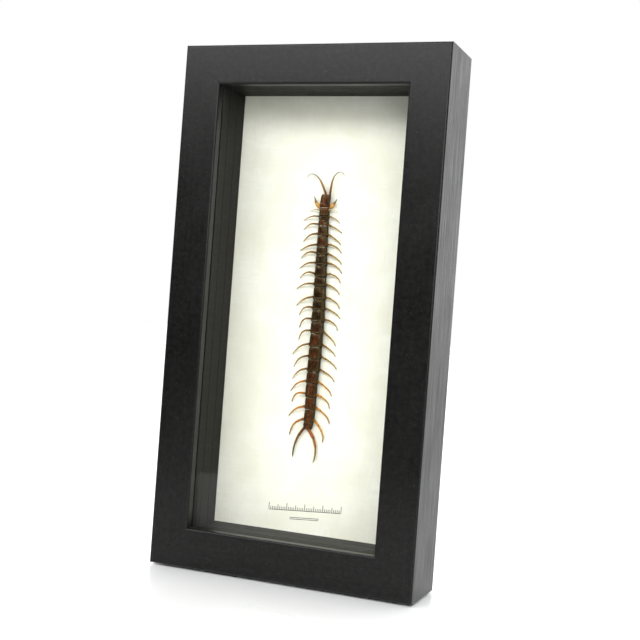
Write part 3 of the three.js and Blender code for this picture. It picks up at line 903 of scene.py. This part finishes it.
def trunk_size(z):
    """Half width and height of the trunk."""
    number, share = tergite_at(z)
    widths, heights = (LAST_WIDTHS, LAST_HEIGHTS) if number == TERGITES - 1 else (WIDTHS, HEIGHTS)
    width = trunk_width(z)
    return width / 2 * curve_at(widths, share), width * TRUNK_FLATNESS * curve_at(heights, share)


def hip_at(pair):
    """Height up the card of a pair's hips. The first two pairs grow from the front of their segments."""
    fraction = {1: 0.32, 2: 0.2}.get(pair, 0.78)
    return TERGITE_REARS[pair - 1] + TERGITE_LENGTHS[pair - 1] * (1 - fraction)


def section_point(share):
    """Across and up at a share of the way from the middle of the back to the middle of the belly."""
    place = share * (len(SKIN_SECTION) - 1)
    across, up = (
        curve_at([(i, point[axis]) for i, point in enumerate(SKIN_SECTION)], place) for axis in (0, 1)
    )
    return max(across, 0), max(up, 0)


SECTION = [section_point(i / HALF_RING) for i in range(HALF_RING + 1)]


def skin_heights():
    """Heights of the skin's rings, closer in the bands between plates."""
    band_edge, close = 0.28, 0.08
    heights = [TRUNK_FRONT + 0.55, TRUNK_FRONT + 0.35, TRUNK_FRONT + 0.15]
    for rear, length in zip(TERGITE_REARS, TERGITE_LENGTHS):
        front = rear + length
        steps = max(4, round(length / 0.55))
        inner = length - 2 * band_edge
        heights += [front - close / 2 - close * i for i in range(4)]
        heights += [front - band_edge - inner * (i + 0.5) / steps for i in range(steps)]
        heights += [rear + band_edge - close * i for i in range(4)]
    return heights


def skin_inset(spot, ring_share, from_band, in_band):
    """How far the skin lies under the trunk's outline: less in the bands' folds and more on the flanks."""
    on_back = 1 - ease(0.38, 0.5, ring_share)
    folds = 0.1 + 0.025 * math.cos(math.tau * from_band / 0.16)
    inset = mix(0.17, folds, in_band) * on_back
    inset += 0.07 * hump(0.5, 0.1, ring_share) * (1 + rough(spot, 0.7, 3.0))
    return inset - 0.03 * on_back * in_band * rough(spot, 0.9, 8.0)


def skin_ring(z):
    """A ring of the soft skin, and the zones of its points."""
    half_width, height = trunk_size(z)
    number, share = tergite_at(z)
    from_band = min(share, 1 - share) * TERGITE_LENGTHS[number]
    in_band = 1 - ease(BAND / 2 - 0.03, BAND / 2 + 0.09, from_band)
    neck = ease(TRUNK_FRONT - 0.3, TRUNK_FRONT - 0.1, z)
    end = 1 - 0.25 * ease(TRUNK_FRONT + 0.2, TRUNK_FRONT + 0.55, z)
    middle = middle_at(z)
    hips = sum(hump(hip_at(i), 0.75, z) for i in range(max(1, number), min(TERGITES, number + 3)))
    flat = [Vector((across * half_width * end, up * height * end)) for across, up in SECTION]
    points, zones = [], []
    for side in (1, -1):
        half_points, half_zones = [], []
        for i, point in enumerate(flat):
            tangent = flat[min(i + 1, HALF_RING)] - flat[max(i - 1, 0)]
            out = Vector((-tangent.y, tangent.x)).normalized()
            ring_share = i / HALF_RING
            spot = Vector((side * point.x, point.y, z))
            bulge = hips * hump(0.63, 0.07, ring_share) * 0.32
            moved = point - out * (skin_inset(spot, ring_share, from_band, in_band) - bulge)
            x = middle + side * max(moved.x, 0)
            half_points.append(Vector((x, above_card(max(moved.y, 0) + GAP), z)))
            out_share = SECTION[i][0] if ring_share < 0.45 else 1
            half_zones.append((out_share, in_band, neck * (1 - ease(0.6, 0.8, out_share)), 1))
        if side < 0:
            half_points = half_points[1:-1][::-1]
            half_zones = half_zones[1:-1][::-1]
        points += half_points
        zones += half_zones
    return points, zones


def build_skin(material):
    rings, zones = zip(*[skin_ring(z) for z in skin_heights()])
    nodes = ["trunk_front", "trunk_middle", "trunk_rear"]
    piece("trunk_skin", loft(rings, zones), material, nodes)


def plate_edge(number, share):
    """How much narrower a plate is near its rounded front and rear corners."""
    length = TERGITE_LENGTHS[number]
    front = clamp(1 - share * length / 0.7)
    rear = clamp(1 - (1 - share) * length / 0.8)
    narrowing = 1 - 0.1 * front**2 - 0.07 * rear**2
    if number == TERGITES - 1:
        narrowing -= 0.12 * ease(0.5, 1, share)
    return narrowing


def plate_point(number, share, out, lift):
    """A point of a tergite. share runs from its front to its rear, out from -1 to 1 across it."""
    rear = TERGITE_REARS[number]
    length = TERGITE_LENGTHS[number]
    front = rear + length - BAND / 2
    bow = 1 - out * out
    z = front - share * (length - BAND) + 0.1 * bow * (1 - share) - 0.05 * bow * share
    half_width, height = trunk_size(clamp(z, rear + 0.05 * length, rear + 0.97 * length))
    reach = 0.965 * out * plate_edge(number, share)
    step = 0.01
    outer, inner = (curve_at(BACK_CURVE, place) for place in (abs(reach) + step, max(abs(reach) - step, 0)))
    slope = (outer - inner) / (2 * step)
    normal = Vector((-slope * height * (1 if out >= 0 else -1), half_width)).normalized()
    flat = Vector((reach * half_width, curve_at(BACK_CURVE, abs(reach)) * height)) + normal * lift
    return Vector((middle_at(z) + flat.x, above_card(flat.y + GAP), z))


def plate_lift(number, share, out):
    """Relief of a tergite: grooves, raised margins, rounded rims and the dents of drying."""
    length = TERGITE_LENGTHS[number]
    half_width = trunk_width(TERGITE_REARS[number]) / 2
    grooved = ease(1, 3, number) * (number < TERGITES - 1)
    grooves = hump(GROOVE, 0.028, abs(out)) * ease(0, 0.12, share) * ease(0, 0.06, 1 - share)
    margin = hump(0.93, 0.045, abs(out)) * ease(2, 6, number) * 0.03
    rim_out = (1 - abs(out)) * half_width
    rim_along = min(share, 1 - share) * length
    rim = 0.1 * (clamp(1 - rim_out / 0.14) ** 2 + clamp(1 - rim_along / 0.12) ** 2)
    lip = 0.05 * hump(0.95, 0.03, share) - 0.07 * (1 - ease(0, 0.16, share))
    spot = Vector((out * half_width, share * length, number * 7.3))
    dents = 0.045 * rough(spot, 1.7, 1.0) + 0.018 * rough(spot, 0.55, 5.0)
    hollow = -0.06 * hump(0.66, 0.16, abs(out)) * hump(0.5, 0.3, share)
    crest = 0.03 * hump(0, 0.2, out)
    return -0.075 * grooved * grooves + margin - rim + lip + dents + hollow + crest


def plate_redness(number):
    """How red a tergite is: the first and the last few most, those before the middle least."""
    sooty = 0.42 * ease(4, 6.5, number) * (1 - ease(10.5, 13, number))
    own = clamp(0.52 + 0.6 * noise.noise(Vector((number * 1.7, 3.1, 0))) - sooty)
    return max(own, 0.72 * (number == 0 or number > 17))


def build_tergites(material):
    outs = [-out for out in OUT_STATIONS[:0:-1]] + list(OUT_STATIONS)
    shapes = []
    for number in range(TERGITES):
        own = plate_redness(number)
        fronts, backs, zones = [], [], []
        for share in ALONG_STATIONS:
            lifts = [(out, plate_lift(number, share, out)) for out in outs]
            fronts.append([plate_point(number, share, out, lift) for out, lift in lifts])
            backs.append([plate_point(number, share, out, lift - PLATE_THICKNESS) for out, lift in lifts])
            zones.append([(abs(out), share, own, 1) for out in outs])
        shapes.append(sheet_with_back(fronts, backs, zones))
    piece("tergites", joined(shapes), material)


def oval_ring(centre, side, long, short, thickness):
    """A closed oval ring on the trunk's flank."""
    turns, corners = 20, 8
    points = []
    for ahead, up in circle(turns):
        for wide, out in circle(corners):
            height = (short + thickness * wide) * up
            length = (long + thickness * wide) * ahead
            points.append(centre + Vector((side * thickness * out, height, length)))
    return points, walls(turns, corners, closed=True), [(1, 0.5, 0, 1)] * len(points)


def build_spiracles(material):
    """Oval rims of the breathing holes, above the hips of some segments."""
    shapes = []
    for segment in SPIRACLE_SEGMENTS:
        z = hip_at(segment) - 0.1 * TERGITE_LENGTHS[segment - 1] + 1.1
        half_width, height = trunk_size(z)
        for side in (-1, 1):
            centre = Vector((middle_at(z) + side * (half_width * 0.93), above_card(height * 0.5 + GAP), z))
            shapes.append(oval_ring(centre, side, 0.34, 0.19, 0.07))
    piece("spiracles", joined(shapes), material)


# Limbs

PATH_STEPS = 400
STIFFNESS = 0.55
LEG_JOINTS = (0.035, 0.1, 0.32, 0.56, 0.76, 0.92)
TERMINAL_JOINTS = (0.03, 0.34, 0.58, 0.76, 0.92)

# Share along one article, its thickness there, and how dark its joint is
ARTICLE = (
    (0.004, 0.74, 1.0), (0.03, 0.82, 0.7), (0.07, 0.88, 0.25), (0.15, 0.91, 0), (0.3, 0.94, 0),
    (0.45, 0.97, 0), (0.6, 1.0, 0), (0.74, 1.03, 0), (0.86, 1.06, 0), (0.93, 1.07, 0.1),
    (0.975, 1.03, 0.5), (0.996, 0.9, 1.0),
)

# Share along a limb, its radius there, and how dark its joint is: hips, claws and a whole forcipule
LEG_HIP = ((0.0, 0.58, 1.0), (0.02, 0.66, 0.8), (0.034, 0.56, 1.0))
LEG_CLAW = ((0.925, 0.17, 1.0), (0.94, 0.16, 1.0), (0.96, 0.12, 1.0), (0.985, 0.07, 1.0), (1.0, 0.025, 1.0))
TERMINAL_HIP = ((0.0, 0.6, 1.0), (0.015, 0.68, 0.8), (0.028, 0.62, 1.0))
TERMINAL_CLAW = (
    (0.925, 0.24, 0.7), (0.94, 0.22, 0.8), (0.96, 0.16, 1.0), (0.985, 0.09, 1.0), (1.0, 0.025, 1.0),
)
FORCIPULE = (
    (0.0, 0.9, 0.5), (0.04, 0.98, 0.1), (0.14, 1.06, 0), (0.25, 1.12, 0), (0.37, 1.1, 0), (0.46, 1.05, 0),
    (0.485, 0.98, 0.4), (0.495, 0.86, 1.0), (0.51, 0.84, 0.8), (0.53, 0.88, 0.2), (0.56, 0.84, 0.2),
    (0.575, 0.74, 0.9), (0.59, 0.72, 0.7), (0.61, 0.74, 0.2), (0.635, 0.66, 0.3), (0.645, 0.55, 1.0),
    (0.66, 0.5, 0.8), (0.7, 0.43, 0), (0.76, 0.36, 0), (0.82, 0.3, 0), (0.88, 0.23, 0), (0.93, 0.17, 0),
    (0.97, 0.11, 0), (0.99, 0.07, 0), (1.0, 0.03, 0),
)

# Share along a spur and its thickness there
SPUR = ((-0.25, 0.8), (0, 1), (0.3, 0.8), (0.6, 0.5), (0.85, 0.22), (1, 0.05))


def limb_path(root_x, root_z, side, pose, height_at, hold=1.0):
    """Points evenly along a limb that turns from its first direction to its last. hold above 1 keeps
    the first direction for longer. Its length is measured seen from the front."""
    length, start, end = pose
    x, z = root_x, root_z
    points = []
    for step in range(PATH_STEPS + 1):
        share = step / PATH_STEPS
        points.append(Vector((x, above_card(height_at(share)), z)))
        angle = math.radians(mix(start, end, (share + 0.5 / PATH_STEPS) ** hold))
        x += side * math.cos(angle) * length / PATH_STEPS
        z -= math.sin(angle) * length / PATH_STEPS
    return points


def path_at(path, share):
    place = clamp(share) * (len(path) - 1)
    before = min(int(place), len(path) - 2)
    return path[before].lerp(path[before + 1], place - before)


def jointed_at(path, joints, share):
    """A place on a limb whose articles are nearly straight between its joints."""
    bent = path_at(path, share)
    for start, end in zip(joints, joints[1:]):
        if start <= share <= end:
            chord = path_at(path, start).lerp(path_at(path, end), (share - start) / (end - start))
            return bent.lerp(chord, STIFFNESS)
    return bent


def article_stations(joints, radius_at, depth=1.0):
    """(share, radius, joint darkness) along a row of articles."""
    stations = []
    for start, end in zip(joints, joints[1:]):
        for place, thickness, dark in ARTICLE:
            share = mix(start, end, place)
            stations.append((share, radius_at(share) * (1 + (thickness - 1) * depth), dark))
    return stations


def scaled(stations, girth=1.0, darkness=1.0):
    return [(share, radius * girth, dark * darkness) for share, radius, dark in stations]


def tube(path, joints, stations, own, sides, squash=1.0):
    """The shape of a limb along its path. own is the limb's own number in the zones."""
    points = [jointed_at(path, joints, share) for share, _, _ in stations]
    rings = []
    for i, (share, radius, _) in enumerate(stations):
        along = (points[min(i + 1, len(points) - 1)] - points[max(i - 1, 0)]).normalized()
        across = along.cross(Vector((0, 1, 0))).normalized()
        up = across.cross(along)
        rings.append([
            points[i] + across * (a * radius) + up * (b * radius * squash) for a, b in circle(sides)
        ])
    return loft(rings, [[(share, dark, own, 1)] * sides for share, _, dark in stations])


def spur(base, direction, length, radius, zone):
    """A small spine with a rounded root, which stands on base."""
    sides = 8
    direction = direction.normalized()
    across = direction.orthogonal().normalized()
    other = direction.cross(across)
    rings = [
        [
            base + direction * (length * share) + (across * a + other * b) * radius * thickness
            for a, b in circle(sides)
        ]
        for share, thickness in SPUR
    ]
    return loft(rings, [[zone] * sides] * len(rings))


def limb(node, shape, material):
    piece(f"chitin_{node}", shape, material, [node], sharp=60)


def leg_height(share):
    return HIP_HEIGHT + LEG_ARCH * math.sin(math.pi * min(share / 0.7, 1)) - LEG_DROP * share


def leg_spurs(path, own):
    """The spur at the last joint but one and the two beside the claw."""
    joint = jointed_at(path, LEG_JOINTS, 0.752)
    ahead = (path_at(path, 0.79) - joint).normalized()
    base, direction = joint + Vector((0, 0.22, 0)), ahead + Vector((0, 0.6, 0))
    spurs = [spur(base, direction, 0.55, 0.075, (0.9, 0.6, own, 1))]
    tip = path_at(path, 0.945)
    ahead = (path_at(path, 1) - tip).normalized()
    beside = ahead.cross(Vector((0, 1, 0))).normalized()
    for lean in (-1, 1):
        base, direction = tip + beside * lean * 0.13, ahead + beside * lean * 0.7
        spurs.append(spur(base, direction, 0.3, 0.05, (1, 1, own, 1)))
    return spurs


def leg_shape(pair, side, pose):
    root_z = hip_at(pair)
    root_x = middle_at(root_z) + side * (trunk_width(root_z) / 2 - 0.5)
    path = limb_path(root_x, root_z, side, pose, leg_height)
    # A random shift per leg, plus a higher number for the left legs, which come out darker: painted shade
    # on the left side.
    own = 0.5 + 0.5 * noise.noise(Vector((pair * 2.3, side * 4.1, 7.7))) - 0.45 * side
    articles = article_stations(LEG_JOINTS, lambda share: LEG_RADIUS - LEG_TAPER * share)
    stations = scaled([*LEG_HIP, *articles, *LEG_CLAW], girth=LEG_GIRTHS.get(pair, 1))
    spurs = leg_spurs(path, own) if pair > 1 else []
    return joined([tube(path, LEG_JOINTS, stations, own, 20), *spurs])


def build_legs():
    amber = limb_shell(
        "leg_chitin", (0.035, 0.02, 0.008),
        (0.0, (0.05, 0.026, 0.006)), (0.14, (0.14, 0.068, 0.01)), (0.34, (0.31, 0.165, 0.021)),
        (0.55, (0.42, 0.24, 0.036)), (0.78, (0.46, 0.3, 0.08)), (0.94, (0.31, 0.26, 0.15)),
    )
    orange = limb_shell(
        "rear_leg_chitin", (0.05, 0.022, 0.008),
        (0.0, (0.12, 0.042, 0.006)), (0.12, (0.34, 0.12, 0.012)), (0.3, (0.62, 0.25, 0.022)),
        (0.52, (0.6, 0.28, 0.03)), (0.78, (0.42, 0.21, 0.04)), (0.94, (0.2, 0.11, 0.035)),
    )
    pale = limb_shell(
        "first_leg_chitin", (0.3, 0.22, 0.12),
        (0.0, (0.2, 0.14, 0.05)), (0.2, (0.5, 0.4, 0.2)), (0.5, (0.7, 0.62, 0.4)),
        (0.8, (0.66, 0.62, 0.48)),
    )
    for side_name, side, poses in SIDES:
        for pair, pose in enumerate(poses, start=1):
            material = orange if pair > 16 else pale if pair == 1 else amber
            limb(f"leg_{side_name}_{pair:02d}", leg_shape(pair, side, pose), material)


def terminal_height(share):
    return 1.6 - 0.6 * share


def terminal_shape(side_name, side):
    root_z = TRUNK_REAR + 1.4
    root_x = middle_at(root_z) + TERMINAL_HIPS[side_name]
    path = limb_path(root_x, root_z, side, TERMINAL_LEGS[side_name], terminal_height)
    radius, taper = TERMINAL_RADIUS[side_name], TERMINAL_TAPER[side_name]
    articles = article_stations(TERMINAL_JOINTS, lambda share: radius - taper * share)
    shapes = [tube(path, TERMINAL_JOINTS, [*TERMINAL_HIP, *articles, *TERMINAL_CLAW], 0.3, 24)]
    for share in (0.2, 0.26, 0.31):
        for lean in (0.2, 0.9):
            direction = Vector((-side, -lean, -0.6)).normalized()
            base = jointed_at(path, TERMINAL_JOINTS, share) + direction * 0.62
            shapes.append(spur(base, direction, 0.6, 0.14, (0.9, 0.8, 0.3, 1)))
    return joined(shapes)


def build_terminal_legs():
    colours = {
        "left": (
            (0.0, (0.1, 0.028, 0.006)), (0.25, (0.17, 0.06, 0.01)), (0.5, (0.17, 0.075, 0.016)),
            (0.75, (0.105, 0.065, 0.02)), (0.93, (0.06, 0.045, 0.024)),
        ),
        "right": (
            (0.0, (0.18, 0.04, 0.007)), (0.2, (0.34, 0.08, 0.012)), (0.45, (0.3, 0.105, 0.018)),
            (0.7, (0.22, 0.12, 0.028)), (0.93, (0.19, 0.14, 0.075)),
        ),
    }
    for side_name, side, _ in SIDES:
        material = limb_shell(f"terminal_{side_name}_chitin", (0.05, 0.02, 0.009), *colours[side_name])
        limb(f"leg_{side_name}_21", terminal_shape(side_name, side), material)


def antenna_height(share):
    return 2.5 - 0.9 * share


def antenna_radius(share):
    return ANTENNA_RADIUS * (1 - ANTENNA_TAPER * ease(0.1, 1, share))


def build_antennae():
    material = limb_shell(
        "antenna_chitin", (0.05, 0.03, 0.016),
        (0.0, (0.085, 0.025, 0.007)), (0.2, (0.2, 0.075, 0.02)), (0.45, (0.3, 0.19, 0.08)),
        (0.7, (0.26, 0.24, 0.17)), (1.0, (0.28, 0.275, 0.24)),
    )
    joints = [i / ANTENNA_ARTICLES for i in range(ANTENNA_ARTICLES + 1)]
    articles = article_stations(joints, antenna_radius, depth=0.8)
    stations = scaled([(0.0, ANTENNA_RADIUS, 0.6), *articles[1:], (0.9995, 0.07, 0.3)], darkness=0.7)
    root_z = HEAD_REAR + HEAD_LENGTH * 0.84
    for side_name, side, _ in SIDES:
        root_x = middle_at(root_z) + 1.25 + side * 0.8
        path = limb_path(root_x, root_z, side, ANTENNAE[side_name], antenna_height, hold=4)
        limb(f"antenna_{side_name}", tube(path, joints, stations, 0.2, 16), material)


def forcipule_height(share):
    return 1.15 + 0.5 * share


def build_forcipules():
    material = limb_shell(
        "forcipule_chitin", (0.07, 0.03, 0.01),
        (0.0, (0.16, 0.065, 0.015)), (0.2, (0.5, 0.25, 0.06)), (0.45, (0.6, 0.34, 0.1)),
        (0.6, (0.4, 0.2, 0.055)), (0.7, (0.09, 0.07, 0.05)), (0.85, (0.06, 0.058, 0.055)),
    )
    stations = scaled(FORCIPULE, girth=FORCIPULE_RADIUS)
    root_z = TRUNK_FRONT - 0.3
    for side_name, side, _ in SIDES:
        root_x = middle_at(root_z) + side * 2.05
        path = limb_path(root_x, root_z, side, FORCIPULES[side_name], forcipule_height)
        shape = tube(path, (), stations, 0.1, 28, squash=0.85)
        limb(f"forcipule_{side_name}", shape, material)


# Head

# Shares of the full width and height along the head from its rear
HEAD_WIDTHS = ((0, 0.84), (0.08, 0.95), (0.35, 1), (0.65, 0.99), (0.85, 0.96), (0.96, 0.88), (1, 0.72))
HEAD_HEIGHTS = ((0, 0.84), (0.08, 0.96), (0.35, 1), (0.65, 0.98), (0.85, 0.87), (0.96, 0.66), (1, 0.42))
HEAD_REDNESS = 0.62
HEAD_ROWS = 56

# Distance ahead of the trunk's front and share of the full width of the plate under the head
FORCIPULE_PLATE = ((-3, 0.7), (-1.2, 0.9), (0.6, 1), (1.8, 0.85), (2.5, 0.5))


def head_ring(along):
    z = HEAD_REAR + along * HEAD_LENGTH
    chin = 0.5 * ease(0.3, 0.6, along)
    centre = (HEAD_BELLY - chin + HEAD_BACK) / 2
    half_height = (HEAD_BACK - HEAD_BELLY + chin) / 2 * curve_at(HEAD_HEIGHTS, along)
    reach = HEAD_WIDTH / 2 * curve_at(HEAD_WIDTHS, along)
    points, zones = [], []
    for cosine, sine in circle(72):
        across = math.copysign(abs(cosine) ** 0.8, cosine)
        up = math.copysign(abs(sine) ** 0.8, sine)
        spot = Vector((across * reach, up, z))
        rim = hump(0.02, 0.1, up)
        seam = hump(-0.16, 0.045, up)
        suture = hump(0, 0.03, across) * ease(0.62, 0.75, along) * (up > 0)
        furrows = hump(0.42, 0.05, abs(across)) * (1 - ease(0.2, 0.45, along)) * (up > 0)
        dents = 0.035 * rough(spot, 1.6, 2.0) + 0.014 * rough(spot, 0.5, 4.0)
        lift = 0.045 * rim - 0.1 * seam - 0.06 * suture - 0.05 * furrows + dents
        x = middle_at(z) + across * (reach + lift)
        points.append(Vector((x, above_card(centre + up * (half_height + lift)), z)))
        zones.append((abs(across) if up > -0.1 else 1, 1 - along, HEAD_REDNESS, 1))
    return points, zones


def build_head(material, eye):
    rows = [0.03 + 0.94 * i / HEAD_ROWS for i in range(HEAD_ROWS + 1)]
    rings, zones = zip(*[head_ring(along) for along in (0, 0.004, 0.014, *rows, 0.985, 0.995, 1)])
    piece("head_capsule", loft(rings, zones), material, ["head"])
    eyes = []
    for side in (-1, 1):
        for forward, up in ((0, 0.35), (0.35, 0), (0, -0.35), (-0.35, 0)):
            z = HEAD_REAR + HEAD_LENGTH * 0.78 + forward
            x = middle_at(z) + side * (HEAD_WIDTH * 0.385 - forward * 0.25)
            eyes.append(ball(Vector((x, above_card(2.4 + up), z)), 0.31, 0.24))
    piece("ocelli", joined(eyes), eye)


def build_forcipule_plate(material):
    """The plate under the head that carries the forcipules, with a row of small teeth in front."""
    sides, rows, height, half_height = 40, 22, 0.82, 0.48
    rings = []
    for i in range(rows + 1):
        ahead = -3 + 5.5 * i / rows
        z = TRUNK_FRONT + ahead
        reach = 2.4 * curve_at(FORCIPULE_PLATE, ahead)
        rings.append([
            Vector((middle_at(z) + a * reach, above_card(height + b * half_height), z))
            for a, b in circle(sides)
        ])
    shapes = [loft(rings, [[(0.4, 0.5, 0.3, 1)] * sides] * len(rings))]
    front = TRUNK_FRONT + 2.4
    for side in (-1, 1):
        for i in range(4):
            x = middle_at(front) + side * (0.3 + 0.26 * i)
            base = Vector((x, above_card(height), front - 0.05 * i))
            shapes.append(spur(base, Vector((side * 0.15, 0, 1)), 0.4, 0.13, (1, 1, 0, 1)))
    piece("forcipule_plate", joined(shapes), material, sharp=60)


def build_centipede():
    shell = plate_shell(
        "tergite_chitin",
        (0.066, 0.018, 0.006), (0.12, 0.031, 0.009), (0.0075, 0.0043, 0.002), (0.03, 0.018, 0.0055),
    )
    head_shell = plate_shell(
        "head_chitin",
        (0.1, 0.03, 0.011), (0.15, 0.05, 0.018), (0.01, 0.005, 0.003), (0.028, 0.012, 0.005),
    )
    build_skin(body_membrane())
    build_tergites(shell)
    build_spiracles(shell)
    build_forcipule_plate(head_shell)
    build_head(head_shell, eye_shell())
    build_legs()
    build_terminal_legs()
    build_antennae()
    build_forcipules()


# Studio


def build_floor():
    look = Look("floor_white", Specular_IOR_Level=0.35)
    cloud = look.noise(4, 3.0, 0.5)
    colour = look.ramp(cloud, (0.3, (0.76, 0.767, 0.767)), (0.7, (0.79, 0.797, 0.797)))
    look.paint(Base_Color=colour, Roughness=look.remap(cloud, 0.3, 0.7, 0.22, 0.28))
    mesh = bpy.data.meshes.new("floor")
    reach, front, level = 6.0, -0.32, -0.0011
    mesh.from_pydata(
        [(-reach, front, level), (reach, front, level), (reach, reach, level), (-reach, reach, level)],
        [], [(0, 1, 2, 3)],
    )
    mesh.materials.append(look.material)
    floor = bpy.data.objects.new("floor", mesh)
    bpy.context.scene.collection.objects.link(floor)


def build_world():
    """White all round to the eye. As light it is bright behind and above and dimmer in front."""
    world = bpy.data.worlds.new("studio")
    world.use_nodes = True
    bpy.context.scene.world = world
    world.node_tree.nodes.clear()
    nodes = Nodes(world.node_tree)
    _, back, up = nodes.axes(nodes.add("TexCoord").outputs["Generated"])
    strength = nodes.plus(nodes.remap(back, -0.25, 0.8, 0.02, 1.85), nodes.remap(up, 0.45, 0.9, 0.0, 0.8))
    light = nodes.add("Background", Color=(1, 1, 1), Strength=strength)
    seen = nodes.add("Background", Color=(1, 1, 1), Strength=1.0)
    camera_ray = nodes.add("LightPath").outputs["Is Camera Ray"]
    nodes.add("OutputWorld", Surface=nodes.crossfade(camera_ray, light, seen))


def area_light(name, place, size, power):
    lamp = bpy.data.lights.new(name, "AREA")
    lamp.shape = "RECTANGLE"
    lamp.size, lamp.size_y = size
    lamp.energy = power
    made = bpy.data.objects.new(name, lamp)
    made.location = place
    target = Vector((0, 0, 0.13))
    made.rotation_euler = (target - Vector(place)).to_track_quat("-Z", "Y").to_euler()
    made.visible_camera = False
    bpy.context.scene.collection.objects.link(made)


def build_camera():
    lens = bpy.data.cameras.new("camera")
    lens.sensor_width = 36
    lens.lens = 64.82
    lens.clip_start = 0.01
    camera = bpy.data.objects.new("camera", lens)
    camera.location = (0.21535, -0.54079, 0.13301)
    camera.rotation_euler = Euler([math.radians(turn) for turn in (89.7081, -4.2288, 21.1452)])
    bpy.context.scene.collection.objects.link(camera)
    bpy.context.scene.camera = camera


build_camera()
build_world()
area_light("key", (-0.46, -0.9, 0.71), (1.1, 0.42), 12.9)
area_light("fill", (0.5, -0.8, 0.42), (0.8, 0.6), 8.2)
area_light("top", (0.0, 0.7, 1.6), (1.4, 1.4), 12.0)
build_floor()
build_case()
build_centipede()
bpy.context.scene.view_settings.view_transform = "Standard"
